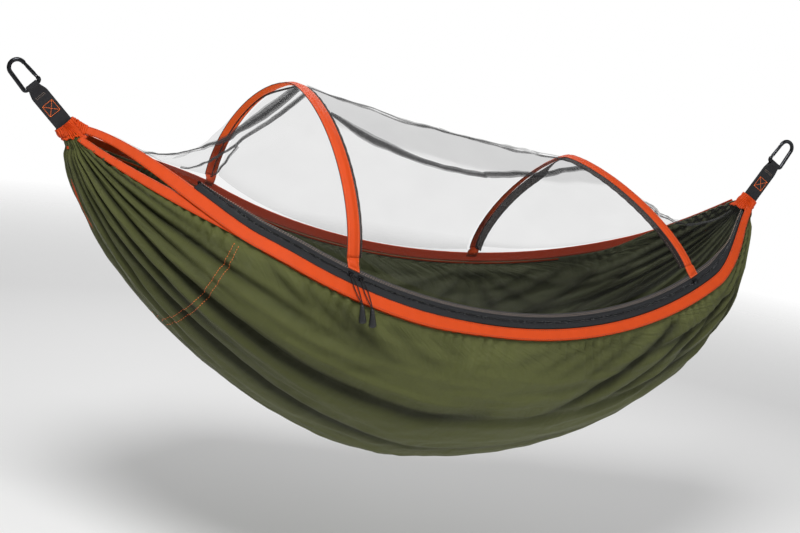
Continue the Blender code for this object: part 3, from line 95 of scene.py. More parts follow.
# Belly and section of the cloth
BELLY_DEPTH = 0.783
BELLY_X = -0.074
BELLY_TURN_SHARE = 0.51
BELLY_LEFT_POWERS = (1.508, 1.653)
BELLY_RIGHT_POWERS = (2.217, 2.002)
SECTION_POWER = 2.2
CLOTH_THICKNESS = 0.0030
CLOTH_TUCK = 0.008
CLOTH_GATHER_EASE = 0.0035
CLOTH_EASE_SHARE = 0.16

# Hems, zip and net tape, as heights up the hem from its middle line
HEM_WIDTH = 0.048
HEM_THICKNESS = 0.0030
LOW_HEM_WIDTH = 0.030
HEM_GATHER_SHARE = 0.55
HEM_TAPER_REACH = 0.40
HEM_SPLIT_SHARE = 0.242
LOW_HEM_TUCK_SHARE = 0.030
TOP_HEM_END_INSET = 0.045
TOP_HEM_PULL = 0.408
TOP_HEM_SPLIT_PULL = 0.340
TOP_HEM_HEADING = (1.0, -0.566, -0.093)
ZIP_START_SHARE = 0.140
LOWER_TAPE = (0.0246, 0.0346)
LOWER_COIL = (0.0349, 0.0376)
COIL_MIDDLE = 0.0384
UPPER_COIL = (0.0392, 0.0419)
UPPER_TAPE = (0.0422, 0.0502)
NET_TAPE = (0.0505, 0.0625)
TAPE_THICKNESS = 0.0012
COIL_THICKNESS = 0.0040
HEM_SKIN = HEM_THICKNESS * 0.62
TAPE_SKIN = TAPE_THICKNESS * 0.8
NEAR_HEM_TRIM = (0.0040, 0.0050)
NEAR_HEM_RAISE = 0.0090
HEM_RIPPLE = 0.00035
HEM_STITCH_INSETS = (0.10, 0.90)
HEM_LINING_TOP = 0.0050
TAIL_WIDTH = 0.012
TAIL_RUFFLE = 0.0042
EDGE_FOLD = (-0.0125, -0.0060)
EDGE_FOLD_INSET = 0.0138
TAPE_LAP = 0.0125
TAPE_LAP_RISE = 0.0027
TAPE_RIPPLE = 0.00045
TOOTH_SHARE = 0.86
NET_STITCH_HEIGHTS = (0.0030, 0.0068)
FAR_TAPE_SHARES = (0.185, 0.90)
# Its least width below the hem's top, and what is added along its middle
FAR_TAPE_WIDTHS = (0.008, 0.0235)
LAST_SLIDER_SHARE = 0.875
BAND_STEPS = 421

# Collars, webbing and carabiners
COLLAR_LENGTH = 0.048
COLLAR_CROWN = 0.024
COLLAR_THICKNESS = 0.0030
COLLAR_MOUTH_OUT = 0.008
COLLAR_MOUTH_THICKNESS = 0.026
COLLAR_MOUTH_EASE = 0.0032
# Share of a line in which it leaves its collar
COLLAR_SEARCH = 0.06
# Part of the way to the cloth that a collar covers: all round, and more than that over its top
COLLAR_REACH = {-1: (0.64, 0.26), 1: (0.78, 0.05)}
LEFT_FAN_ANGLE = radians(-63)
RIGHT_FAN_ANGLE = radians(-66)
GATHER_CORD_RADIUS = 0.0025
GATHER_CORD_TURN = 0.0052
GATHER_CORD_INSET = 0.018
STRAP_WIDTH = 0.046
STRAP_THICKNESS = 0.0022
STRAP_BIGHT_WIDTH = 0.031
STRAP_INNER_WIDTH = 0.024
STRAP_LENGTH = 0.129
STRAP_OPENING_LENGTH = 0.030
LEFT_STRAP_ANGLE = radians(44.5)
RIGHT_STRAP_ANGLE = radians(60.5)
# Sewn box on the webbing: its inner and outer end, and half its width
STITCHED_BOX = (0.042, 0.074, 0.0150)
ROD_RADIUS = 0.0055
RING_HALF_WIDTH = 0.0230
RING_CORNER = 0.0065
RING_LENGTH = 0.0785
RING_CROWN_RADIUS = 0.0200
GATE_PIN_UP = 0.0150
GATE_NOSE_UP = 0.0540
GATE_RADIUS = 0.0048
# Lugs of the frame: width and thickness, and how far each reaches along the gate from the pin and from the nose
LUG_SECTION = (0.0080, 0.0030)
PIN_LUG = (-0.0080, 0.0022)
NOSE_LUG = (-0.0058, 0.0050)
LUG_BEVEL = 0.0005

# Hoops and net
SLEEVE_WIDTH = 0.036
SLEEVE_FOOT_GAP = 0.012
FOOT_RISE = 0.0105
TAB_RISE = 0.0135
TAB_LENGTH = 0.0355
TAB_SKIN = 0.0012
HOOP_STEPS = 26
SLEEVE_STEPS = 150
SLEEVE_EDGE = SLEEVE_WIDTH / 2 - 0.0012
SLEEVE_SKIN = 0.0013
SLEEVE_BULGE = 0.0036
SLEEVE_BULGE_WIDTH = 0.0078
PIPING_RADIUS = 0.0009
BINDING_WIDTH = 0.012
BINDING_SKIN = 0.0009
BINDING_FAR_GAP = 0.0066
POCKET_INNER = 0.0057
POCKET_OUTER = 0.0077
POCKET_DEPTH = 0.0070
NET_EDGE_GAP = 0.0034
NET_ROOF_SAG = 0.006
NET_ROOF_HOLD = 4.0
LEFT_NET_SAG = 0.020
LEFT_NET_HOLD = 2.0
LEFT_NET_DROOP = 2.0
LEFT_NET_CLOSE = 0.126
RIGHT_NET_SAG = 0.045
RIGHT_NET_HOLD = 1.0
RIGHT_NET_DROOP = 1.2
RIGHT_NET_CLOSE = 0.075
NET_ROWS = 96
NET_COLUMNS = 120

# Zip sliders and pulls
SLIDER_A_SWEEP = radians(-22.1)
SLIDER_B_SWEEP = radians(-20.8)
SLIDER_FACE = 0.0042
BAIL_OPENING = 0.0032
BAIL_THICKNESS = 0.0014
BAIL_WIDTH = 0.0016
PULL_RING_RADIUS = 0.0031
PULL_RING_WIRE = 0.0006
CORD_RADIUS = 0.0008
CORD_SHOWN_RADIUS = 0.0013
CORD_LOOP_HALF_WIDTH = 0.0055
CORD_OVERHANG = 0.006
CORD_STAND_OUT = 0.0020
PULL_LEAN = radians(10)
GRIP_RADIUS = 0.0085
GRIP_NECK_RADIUS = 0.0034
GRIP_LENGTH = 0.046
GRIP_BORE_DEPTH = 0.007
# Share of the grip's length and of its radius
GRIP_PROFILE = (
    (0.10, 0.545), (0.13, 0.57), (0.145, 0.52), (0.165, 0.52), (0.18, 0.585), (0.30, 0.64), (0.45, 0.73), (0.60, 0.81),
    (0.72, 0.90), (0.82, 0.98), (0.88, 0.99), (0.93, 0.93), (0.97, 0.78), (0.99, 0.58), (1.0, 0.35),
)

# Stitches: length, gap and width
CROSS_SEAM_STITCH = (0.0052, 0.0020, 0.0017)
NET_TAPE_STITCH = (0.0046, 0.0024, 0.0013)
BINDING_STITCH = (0.0036, 0.0022, 0.0007)
BOX_STITCH = (0.0034, 0.0006, 0.0020)
BAR_STITCH = (0.0030, 0.0010, 0.0010)
TAB_STITCH = (0.0032, 0.0016, 0.0009)
HEM_STITCH_WIDTH = 0.0015
SLEEVE_STITCH_WIDTH = 0.0008
STITCH_SWAY = 0.05

# Camera, in the hammock's own frame
CAMERA_AZIMUTH = radians(-21.391)
CAMERA_ELEVATION = radians(10.956)
CAMERA_ROLL = radians(8.992)
CAMERA_DISTANCE = 4.4256
CAMERA_LENS = 72.593
CAMERA_TARGET = np.array([-0.055, 0.0, -0.287])

ACROSS = np.array([0.0, 1.0, 0.0])
UPWARD = np.array([0.0, 0.0, 1.0])
MIRRORED = np.array([1.0, -1.0, 1.0])
SIDES = ((-1, "left"), (1, "right"))
TINY_SHARE = 0.001
MERGE_DISTANCE = 0.00002
SHARP_ANGLE = radians(50)
BEVEL = {"affect": "EDGES", "segments": 2, "profile": 0.5, "material": -1}
HALVINGS = 34


# Places on the hammock. Shares and heights may be numbers or arrays


def unit(vectors):
    vectors = np.asarray(vectors, float)
    return vectors / np.linalg.norm(vectors, axis=-1, keepdims=True)


def smooth(share):
    share = np.clip(share, 0.0, 1.0)
    return share * share * (3 - 2 * share)


def hermite(start, start_pull, end, end_pull, share):
    t = np.asarray(share, float)[..., None]
    return (
        (2 * t**3 - 3 * t**2 + 1) * start
        + (t**3 - 2 * t**2 + t) * start_pull
        + (3 * t**2 - 2 * t**3) * end
        + (t**3 - t**2) * end_pull
    )


CHORD_WAY = np.array([cos(RIM_YAW) * cos(RIM_PITCH), sin(RIM_YAW) * cos(RIM_PITCH), sin(RIM_PITCH)])
SAG_START = np.array([0.0, -cos(RIM_LAYOVER), -sin(RIM_LAYOVER)])
SAG_WAY = unit(SAG_START - CHORD_WAY * (SAG_START @ CHORD_WAY))
ARC_AXIS = np.cross(SAG_WAY, CHORD_WAY)
ARC_CENTRE = np.array([RIM_MIDDLE_X, -RIM_HALF_WIDTH, -RIM_DROP]) - RIM_RADIUS * SAG_WAY
LEFT_GATHER = np.array([-SPAN / 2, 0.0, 0.0])
RIGHT_GATHER = np.array([SPAN / 2, 0.0, 0.0])
LEFT_OUT = np.array([-cos(LEFT_STRAP_ANGLE), 0.0, sin(LEFT_STRAP_ANGLE)])
ORIGIN = -(LEFT_GATHER + LEFT_OUT * (STRAP_LENGTH + RING_LENGTH - ROD_RADIUS))


def arc_out(sweep):
    sweep = np.asarray(sweep, float)[..., None]
    return np.sin(sweep) * CHORD_WAY + np.cos(sweep) * SAG_WAY


def arc_point(sweep, radius=RIM_RADIUS):
    return ARC_CENTRE + radius * arc_out(sweep)


def arc_heading(sweep):
    return cos(sweep) * CHORD_WAY - sin(sweep) * SAG_WAY


def dense_rim():
    """The near rim as many close points, from the left gather to the right one."""
    steps = np.linspace(0.0, 1.0, 201)
    arc = arc_point(-RIM_LEFT_SWEEP + (RIM_LEFT_SWEEP + RIM_RIGHT_SWEEP) * np.linspace(0.0, 1.0, 401))
    side = GATHER_HALF_WIDTH * ACROSS
    left = hermite(
        LEFT_GATHER - side, unit(LEFT_RIM_HEADING) * LEFT_GATHER_PULL,
        arc[0], arc_heading(-RIM_LEFT_SWEEP) * LEFT_ARC_PULL, steps,
    )
    right = hermite(
        arc[-1], arc_heading(RIM_RIGHT_SWEEP) * RIGHT_ARC_PULL,
        RIGHT_GATHER - side, unit(RIGHT_RIM_HEADING) * RIGHT_GATHER_PULL, steps,
    )
    return np.concatenate([left[:-1], arc, right[1:]])


def run_along(points):
    """Distance along a line of points, from its first one."""
    return np.concatenate([[0.0], np.cumsum(np.linalg.norm(np.diff(points, axis=0), axis=1))])


RIM_POINTS = dense_rim()
RIM_RUN = run_along(RIM_POINTS)
RIM_LENGTH = RIM_RUN[-1]
RIM_SHARES = RIM_RUN / RIM_LENGTH
ARC_START_SHARE = RIM_SHARES[200]
ARC_END_SHARE = RIM_SHARES[600]


def follow(shares, knots, points):
    """Places between points, by their knots."""
    return np.stack([np.interp(shares, knots, points[:, axis]) for axis in range(points.shape[1])], axis=-1)


def rim_at(share):
    return follow(np.asarray(share, float), RIM_SHARES, RIM_POINTS)


def share_of_sweep(sweep):
    run = (sweep + RIM_LEFT_SWEEP) / (RIM_LEFT_SWEEP + RIM_RIGHT_SWEEP)
    return ARC_START_SHARE + run * (ARC_END_SHARE - ARC_START_SHARE)


def top_hem_at(share):
    """Middle line of the near hem, which leaves the cloth's edge left of the split."""
    share = np.asarray(share, float)
    start = LEFT_GATHER + np.array([TOP_HEM_END_INSET, -GATHER_HALF_WIDTH, 0.0])
    split = rim_at(HEM_SPLIT_SHARE)
    heading = unit(rim_at(HEM_SPLIT_SHARE + TINY_SHARE) - split)
    free = hermite(
        start, unit(TOP_HEM_HEADING) * TOP_HEM_PULL, split, heading * TOP_HEM_SPLIT_PULL,
        np.minimum(share / HEM_SPLIT_SHARE, 1.0),
    )
    return np.where((share >= HEM_SPLIT_SHARE)[..., None], rim_at(share), free)


def facing(share):
    """Way that the hem's outer face looks."""
    share = np.asarray(share, float)[..., None]
    left = unit(np.array(GATHER_FACING) * np.array([-1.0, 1.0, 1.0]))
    right = unit(GATHER_FACING)
    left_turn = smooth(share / ARC_START_SHARE)
    right_turn = smooth((share - ARC_END_SHARE) / (1 - ARC_END_SHARE))
    way = left * (1 - left_turn) + ARC_AXIS * left_turn
    return unit(np.where(share > ARC_END_SHARE, ARC_AXIS * (1 - right_turn) + right * right_turn, way))


def frame_on(line, share):
    """Points on a rim line with unit vectors along it, up the hem and out of its face."""
    share = np.asarray(share, float)
    along = unit(line(np.minimum(share + TINY_SHARE, 1.0)) - line(np.maximum(share - TINY_SHARE, 0.0)))
    out = facing(share)
    out = unit(out - along * (out * along).sum(-1, keepdims=True))
    return line(share), along, np.cross(out, along), out


def hem_taper(share):
    share = np.asarray(share, float)
    run = np.minimum(share, 1 - share) * RIM_LENGTH / HEM_TAPER_REACH
    return HEM_GATHER_SHARE + (1 - HEM_GATHER_SHARE) * smooth(run)


def on_band(line, share, up, out):
    """Places at a height up the hem and a distance out of its face."""
    point, _, up_way, out_way = frame_on(line, share)
    up = np.asarray(up * hem_taper(share))[..., None]
    return point + up_way * up + out_way * np.asarray(out, float)[..., None]


def low_hem_width(share):
    turn = smooth((share - HEM_SPLIT_SHARE + 2 * LOW_HEM_TUCK_SHARE) / (2 * LOW_HEM_TUCK_SHARE))
    return LOW_HEM_WIDTH + (HEM_WIDTH - LOW_HEM_WIDTH) * turn


def fan_way(side):
    angle = LEFT_FAN_ANGLE if side < 0 else RIGHT_FAN_ANGLE
    return np.array([-side * cos(angle), 0.0, sin(angle)])


def gather_of(side):
    return LEFT_GATHER if side < 0 else RIGHT_GATHER


def halved(low, high, beyond):
    """Share between two others where a test turns true, found by halving."""
    for _ in range(HALVINGS):
        middle = (low + high) / 2
        low, high = (low, middle) if beyond(middle) else (middle, high)
    return high


def collar_share(line, side, inside=0.0):
    """Share of a line where it comes out of a collar, or where it is a distance inside it."""
    low, high = (0.0, COLLAR_SEARCH) if side < 0 else (1.0, 1.0 - COLLAR_SEARCH)
    gather, way = gather_of(side), fan_way(side)
    return halved(low, high, lambda share: (line(share) - gather) @ way - COLLAR_LENGTH + inside > CLEARANCE)


def belly_at(share):
    """Bottom line of the cloth, in the middle plane."""
    share = np.asarray(share, float)
    points = []
    for angle, powers, way, reach in (
        (np.clip(share / BELLY_TURN_SHARE, 0, 1) * pi / 2, BELLY_LEFT_POWERS, -1, BELLY_X + SPAN / 2),
        (np.clip((1 - share) / (1 - BELLY_TURN_SHARE), 0, 1) * pi / 2, BELLY_RIGHT_POWERS, 1, SPAN / 2 - BELLY_X),
    ):
        across, down = powers
        x = BELLY_X + way * reach * np.abs(np.cos(angle)) ** (2 / across)
        points.append(np.stack([x, 0 * x, -BELLY_DEPTH * np.abs(np.sin(angle)) ** (2 / down)], axis=-1))
    return np.where((share < BELLY_TURN_SHARE)[..., None], *points)


def cloth_edge(share):
    """Top edge of the cloth, tucked behind the hems."""
    share = np.asarray(share, float)
    tuck = (CLOTH_THICKNESS - HEM_THICKNESS) / 2 + 2 * HEM_THICKNESS + 4 * CLEARANCE
    tuck = tuck + CLOTH_GATHER_EASE * (1 - smooth(np.minimum(share, 1 - share) / CLOTH_EASE_SHARE))
    return on_band(rim_at, share, CLOTH_TUCK - low_hem_width(share) / 2, -tuck)


def smooth_cloth(share, turn):
    """Places on the unfolded cloth, turn from 0 at the near rim to pi at the far one."""
    edge = cloth_edge(share)
    middle = edge * np.array([1.0, 0.0, 1.0])
    power = 2 / SECTION_POWER
    turn = np.asarray(turn, float)
    across = (np.sign(np.cos(turn)) * np.abs(np.cos(turn)) ** power)[..., None]
    down = (np.abs(np.sin(turn)) ** power)[..., None]
    return middle + ACROSS * edge[..., 1:2] * across + (belly_at(share) - middle) * down


def cloth_share(side, turn):
    """Share where the unfolded cloth comes out of a collar, at one turn."""
    return collar_share(lambda share: smooth_cloth(share, turn), side)


def strap_ways(side):
    """Way out along the strap and across it, upward side positive."""
    angle = LEFT_STRAP_ANGLE if side < 0 else RIGHT_STRAP_ANGLE
    return np.array([side * cos(angle), 0.0, sin(angle)]), np.array([-side * sin(angle), 0.0, cos(angle)])


def noise_at(points, size, seed):
    """Even noise at each point, from -1 to 1."""
    points = np.asarray(points, float)
    values = [noise.noise(Vector(point)) for point in points.reshape(-1, 3) / size + seed]
    return np.array(values).reshape(points.shape[:-1])


def noise_over(u, v, w, seed):
    """Noise over a grid, from three numbers or arrays that together have the grid's shape."""
    return noise_at(np.stack(np.broadcast_arrays(u, v, w), axis=-1), 1.0, seed)


def ways_out(grid):
    """Unit way out of a grid at each of its places."""
    return unit(np.cross(np.gradient(grid, axis=1), np.gradient(grid, axis=0)))


def shares_over(grid):
    """Shares along a grid's rows, as a column, and along its columns, as a row."""
    return np.linspace(0.0, 1.0, grid.shape[0])[:, None], np.linspace(0.0, 1.0, grid.shape[1])[None, :]


def headings(line):
    """Unit way along a line at each of its points."""
    return unit(np.gradient(line, axis=0))


def softened(values, reach):
    """Running mean over a reach on both sides, the ends held."""
    count = 2 * reach + 1
    return np.convolve(np.pad(values, reach, mode="edge"), np.ones(count) / count, mode="valid")


def between(grid, u, v):
    """Values of a grid at shares of its rows and columns, between its own places."""
    rows, columns = grid.shape[0] - 1, grid.shape[1] - 1
    r, c = np.clip(u * rows, 0, rows - 1e-6), np.clip(v * columns, 0, columns - 1e-6)
    i, j = r.astype(int), c.astype(int)
    a, b = (r - i)[:, None], (c - j)[:, None]
    return (
        grid[i, j] * (1 - a) * (1 - b) + grid[i + 1, j] * a * (1 - b)
        + grid[i, j + 1] * (1 - a) * b + grid[i + 1, j + 1] * a * b
    )


def both_faces(line, out, lift):
    """Rows for stitches on both faces of a cloth along a line, a lift away from it."""
    return [(line + out * face * lift, out * face) for face in (-1, 1)]


def bell(values, width, power=2):
    """1 at the middle, falling to nothing over a width on both sides."""
    return np.exp(-((values / width) ** power))


# Meshes and objects


def linked(name, data):
    """A new object in the scene."""
    obj = bpy.data.objects.new(name, data)
    bpy.context.scene.collection.objects.link(obj)
    return obj


def body_object(name, mesh, finish, body, nodes=(), slot=None):
    """Links a finished mesh, rides it on a body and lets it stand for CAD nodes."""
    obj = linked(name, mesh)
    obj.data.materials.clear()
    obj.data.materials.append(finish_of(finish))
    if body is not None:
        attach(obj, body)
    if nodes:
        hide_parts(*nodes)
    return obj


def mesh_of(bm, name, sharp=None):
    mesh = bpy.data.meshes.new(name)
    bm.to_mesh(mesh)
    bm.free()
    mesh.shade_smooth()
    if sharp is not None:
        mesh.set_sharp_from_angle(angle=sharp)
    return mesh


def metre_map(points):
    """UV of a grid in metres: along its rows and its columns."""
    along = np.cumsum(np.linalg.norm(np.diff(points, axis=0), axis=2), axis=0)
    across = np.cumsum(np.linalg.norm(np.diff(points, axis=1), axis=2), axis=1)
    return np.stack([np.pad(along, ((1, 0), (0, 0))), np.pad(across, ((0, 0), (1, 0)))], axis=-1)


def laid_grid(name, points, uv=None, closed=False, marks=None):
    """Mesh of a grid whose vertices lie at points, in the hammock's own frame, with named numbers on them."""
    rows, columns = points.shape[0] - 1, points.shape[1] - 1
    bm = bmesh.new()
    bmesh.ops.create_grid(bm, x_segments=rows, y_segments=columns, size=0.5)
    mesh = mesh_of(bm, name)
    count = len(mesh.vertices)
    flat = np.empty(count * 3)
    mesh.vertices.foreach_get("co", flat)
    flat = flat.reshape(-1, 3)
    row = np.rint((flat[:, 0] + 0.5) * rows).astype(int)
    column = np.rint((flat[:, 1] + 0.5) * columns).astype(int)
    mesh.vertices.foreach_set("co", (points[row, column] + ORIGIN).ravel())
    uv = metre_map(points) if uv is None else uv
    layer = mesh.uv_layers.new(name="cloth")
    vertex = np.empty(len(mesh.loops), int)
    mesh.loops.foreach_get("vertex_index", vertex)
    layer.uv.foreach_set("vector", uv[row, column][vertex].ravel())
    for mark, values in (marks or {}).items():
        mesh.attributes.new(mark, "FLOAT", "POINT").data.foreach_set("value", values[row, column].ravel())
    bm = bmesh.new()
    bm.from_mesh(mesh)
    if closed:
        bmesh.ops.remove_doubles(bm, verts=bm.verts, dist=MERGE_DISTANCE)
    bmesh.ops.recalc_face_normals(bm, faces=bm.faces)
    bm.to_mesh(mesh)
    bm.free()
    mesh.shade_smooth()
    return mesh


def cloth_piece(
    name, points, finish="orange", nodes=(), slot="orange_nylon", body="hammock", thick=0.0, offset=0.0, **grid
):
    """A piece laid on a grid of places, with a thickness where one is given, inward for an offset of -1."""
    obj = body_object(name, laid_grid(name, points, **grid), finish, body, nodes, slot)
    if thick:
        solid = obj.modifiers.new("thickness", "SOLIDIFY")
        solid.thickness = thick
        solid.offset = offset
        solid.use_even_offset = False
    return obj


def placing(place, *ways):
    """Matrix that turns X, Y and Z to three ways and moves to a place of the hammock's own frame."""
    turn = Matrix([[*row] for row in np.stack(ways, axis=1)]).to_4x4()
    return Matrix.Translation(place + ORIGIN) @ turn


def spun(name, profile, steps, place, up, toward):
    """Mesh of a profile of (radius, height), spun about an axis that points up from a place."""
    bm = bmesh.new()
    ring = [bm.verts.new((radius, 0.0, height)) for radius, height in profile]
    edges = [bm.edges.new(pair) for pair in zip(ring, ring[1:])]
    bmesh.ops.spin(bm, geom=[*ring, *edges], cent=(0, 0, 0), axis=(0, 0, 1), angle=2 * pi, steps=steps, use_merge=True)
    bmesh.ops.remove_doubles(bm, verts=bm.verts, dist=MERGE_DISTANCE / 2)
    bmesh.ops.recalc_face_normals(bm, faces=bm.faces)
    side = unit(toward - up * (toward @ up))
    bmesh.ops.transform(bm, matrix=placing(place, side, np.cross(up, side), up), verts=bm.verts)
    return mesh_of(bm, name, radians(60))


def evaluated_mesh(obj):
    bpy.context.view_layer.update()
    return bpy.data.meshes.new_from_object(obj.evaluated_get(bpy.context.evaluated_depsgraph_get()))


def tube_mesh(name, points, radius, closed=False, resolution=4):
    """Mesh of a round tube along points, from a bevelled curve."""
    curve = bpy.data.curves.new(name, "CURVE")
    curve.dimensions = "3D"
    curve.bevel_depth = radius
    curve.bevel_resolution = resolution
    curve.use_fill_caps = not closed
    spline = curve.splines.new("POLY")
    spline.points.add(len(points) - 1)
    for knot, point in zip(spline.points, points):
        knot.co = (*(np.asarray(point) + ORIGIN), 1.0)
    spline.use_cyclic_u = closed
    holder = linked(name + "_path", curve)
    mesh = evaluated_mesh(holder)
    bpy.data.objects.remove(holder, do_unlink=True)
    bm = bmesh.new()
    bm.from_mesh(mesh)
    bpy.data.meshes.remove(mesh)
    bmesh.ops.remove_doubles(bm, verts=bm.verts, dist=MERGE_DISTANCE)
    bmesh.ops.recalc_face_normals(bm, faces=bm.faces)
    return mesh_of(bm, name, SHARP_ANGLE)


def grain(length, width, height):
    """Small rounded grain: one stitch, or one tooth."""
    bm = bmesh.new()
    bmesh.ops.create_icosphere(bm, subdivisions=1, radius=0.5)
    bmesh.ops.scale(bm, vec=(length, width, height), verts=bm.verts)
    return mesh_of(bm, "grain")


def repeated(name, template, frames):
    """One mesh with a copy of the template at each frame, a 4x4 matrix in the hammock's own frame."""
    holder = linked(name + "_copies", template)
    copies = holder.modifiers.new("copies", "ARRAY")
    copies.count = len(frames)
    copies.use_relative_offset = False
    mesh = evaluated_mesh(holder)
    flat = np.empty(len(template.vertices) * 3)
    template.vertices.foreach_get("co", flat)
    corners = np.concatenate([flat.reshape(-1, 3), np.ones((len(template.vertices), 1))], axis=1)
    placed = np.einsum("kij,nj->kni", frames, corners)[..., :3] + ORIGIN
    mesh.vertices.foreach_set("co", placed.ravel())
    bpy.data.objects.remove(holder, do_unlink=True)
    mesh.name = name
    mesh.shade_smooth()
    return mesh


def frames_along(points, outs, pitch, start=0.0, sway=0.0, seed=0):
    """Frames at even steps along a line: X along it, Z out of the surface under it."""
    points, outs = np.asarray(points, float), np.asarray(outs, float)
    run = run_along(points)
    steps = np.arange(start + pitch / 2, run[-1], pitch)
    place = follow(steps, run, points)
    along = unit(follow(steps + pitch / 4, run, points) - follow(steps - pitch / 4, run, points) + 1e-9)
    out = follow(steps, run, outs)
    out = unit(out - along * (out * along).sum(-1, keepdims=True))
    side = np.cross(out, along)
    if sway:
        turn = np.random.default_rng(seed).normal(0.0, sway, len(steps))[:, None]
        along, side = unit(along + side * turn), unit(side - along * turn)
    frames = np.zeros((len(steps), 4, 4))
    for column, values in enumerate((along, side, out, place)):
        frames[:, :3, column] = values
    frames[:, 3, 3] = 1.0
    return frames


def stitch_rows(name, rows, finish, size, body="hammock", slot="orange_nylon"):
    """Rows of stitches of a length, gap and width, each row a line of points with the ways out of the cloth."""
    length, gap, width = size
    frames = np.concatenate([
        frames_along(points, outs, length + gap, sway=STITCH_SWAY, seed=index)
        for index, (points, outs) in enumerate(rows)
    ])
    mesh = repeated(name, grain(length, width, width * 0.8), frames)
    return body_object(name, mesh, finish, body, slot=slot)


# Finishes


BLACK = (0.0, 0.0, 0.0)


class Value:
    """A node's output whose sums, differences and products are Math nodes."""

    def __init__(self, tree, socket):
        self.tree = tree
        self.socket = socket

    def node(self, kind, settings=None, inputs=None, output=0):
        """Any other node, from its type, its settings and the values or links of its sockets."""
        node = self.tree.nodes.new(kind)
        for name, setting in (settings or {}).items():
            setattr(node, name, setting)
        for name, value in (inputs or {}).items():
            socket = node.inputs[name]
            if isinstance(value, Value):
                self.tree.links.new(value.socket, socket)
            else:
                socket.default_value = value
        return Value(self.tree, node.outputs[output])

    def maths(self, operation, first, second=0.0, clamp=False):
        return self.node("ShaderNodeMath", {"operation": operation, "use_clamp": clamp}, {0: first, 1: second})

    def __add__(self, other):
        return self.maths("ADD", self, other)

    __radd__ = __add__

    def __sub__(self, other):
        return self.maths("SUBTRACT", self, other)

    def __rsub__(self, other):
        return self.maths("SUBTRACT", other, self)

    def __mul__(self, other):
        return self.maths("MULTIPLY", self, other)

    __rmul__ = __mul__

    def clamped(self):
        return self.maths("ADD", self, 0.0, clamp=True)


class Finish:
    """A material with a Principled shader, and the patterns that its colour and bump are made of."""

    def __init__(self, name, colour, roughness, **constants):
        self.material = bpy.data.materials.new(name)
        self.material.use_nodes = True
        self.tree = self.material.node_tree
        self.shader = self.tree.nodes["Principled BSDF"]
        self.colour = (*colour, 1.0)
        self.set("Base Color", self.colour)
        self.set("Roughness", roughness)
        for socket, value in constants.items():
            self.set(socket.replace("_", " "), value)
        place = self.tree.nodes.new("ShaderNodeTexCoord")
        self.base = Value(self.tree, place.outputs["Object"])
        self.uv = Value(self.tree, place.outputs["UV"])

    def set(self, socket, value):
        if isinstance(value, Value):
            self.tree.links.new(value.socket, self.shader.inputs[socket])
        else:
            self.shader.inputs[socket].default_value = value

    def mark(self, name):
        """A number kept on the piece's own vertices."""
        return self.base.node("ShaderNodeAttribute", {"attribute_name": name}, output="Fac")

    def cloudy(self, scale, detail, roughness, where=None):
        inputs = {"Vector": where or self.base, "Scale": scale, "Detail": detail, "Roughness": roughness}
        return self.base.node("ShaderNodeTexNoise", {"noise_dimensions": "3D"}, inputs)

    def stretched(self, scale, where=None):
        """Coordinates scaled by three numbers, for threads, streaks and ribs."""
        return self.base.node("ShaderNodeMapping", {}, {"Vector": where or self.base, "Scale": scale})

    def ridged(self, pattern):
        """Pattern turned to soft ridges with a sharp valley between each two."""
        return self.base.node("ShaderNodeMath", {"operation": "ABSOLUTE"}, {0: (pattern - 0.5) * 2.6})

    def ribs(self, scale, way="X", distortion=0.0):
        settings = {"wave_type": "BANDS", "bands_direction": way, "wave_profile": "SIN"}
        inputs = {"Vector": self.uv, "Scale": scale, "Distortion": distortion}
        return self.base.node("ShaderNodeTexWave", settings, inputs, output="Fac")

    def weave(self, across, along, distortions=(0.0, 0.0)):
        """Ribs in both ways of a cloth, half of each."""
        return self.ribs(across, "X", distortions[0]) * 0.5 + self.ribs(along, "Y", distortions[1]) * 0.5

    def shade(self, dark, light, factor):
        """Colour between two shares of the base colour, or between two colours, by a factor from 0 to 1."""
        dark, light = (
            end if isinstance(end, tuple) else tuple(channel * end for channel in self.colour[:3])
            for end in (dark, light)
        )
        return self.mixed((*dark, 1.0), (*light, 1.0), factor)

    def mixed(self, first, second, factor):
        inputs = {"Factor": factor, 6: first, 7: second}
        return self.base.node("ShaderNodeMix", {"data_type": "RGBA"}, inputs, output=2)

    def bump(self, height, distance, strength):
        inputs = {"Height": height, "Distance": distance, "Strength": strength}
        self.set("Normal", self.base.node("ShaderNodeBump", {}, inputs))


def olive_cloth(colour):
    """Satin nylon: fine plain weave, soft clouding, painted shade down in the folds, and a painted interior tone on the
    far half.
    """
    finish = Finish("olive_satin_nylon", colour, 0.48, Specular_IOR_Level=0.24)
    clouds = finish.cloudy(3.5, 4.0, 0.55)
    streaks = finish.cloudy(1.0, 5.0, 0.6, finish.stretched((5.0, 60.0, 1.0), finish.uv))
    # Painted shade: the colour darkens toward a dark olive down in the folds and creases, by the valley mark
    depth = finish.mark("valley").clamped()
    base = finish.shade(0.86, 1.16, (clouds * 0.6 + streaks * 0.4).clamped())
    valley = finish.shade(0.12, 0.18, clouds)
    outside = finish.mixed(base, valley, depth * 0.90)
    # Painted light and shade: the far half, seen from inside, has a greyer and slightly lighter tone of its own, tuned
    # to the shaded interior
    inside = finish.mixed(finish.shade((0.086, 0.096, 0.049), (0.120, 0.132, 0.070), clouds), valley, depth * 0.80)
    finish.set("Base Color", finish.mixed(outside, inside, finish.mark("farther")))
    finish.set("Roughness", 0.42 + 0.16 * streaks)
    weave = finish.weave(700.0, 700.0)
    creases = finish.cloudy(14.0, 6.0, 0.60)
    slanted = finish.cloudy(1.0, 4.0, 0.55, finish.stretched((11.0, 3.0, 1.0), finish.uv))
    crisp = finish.ridged(slanted)
    finish.bump(weave * 0.045 + creases * 0.38 + streaks * 0.18 + crisp * 1.05, 0.0115, 0.66)
    return finish.material


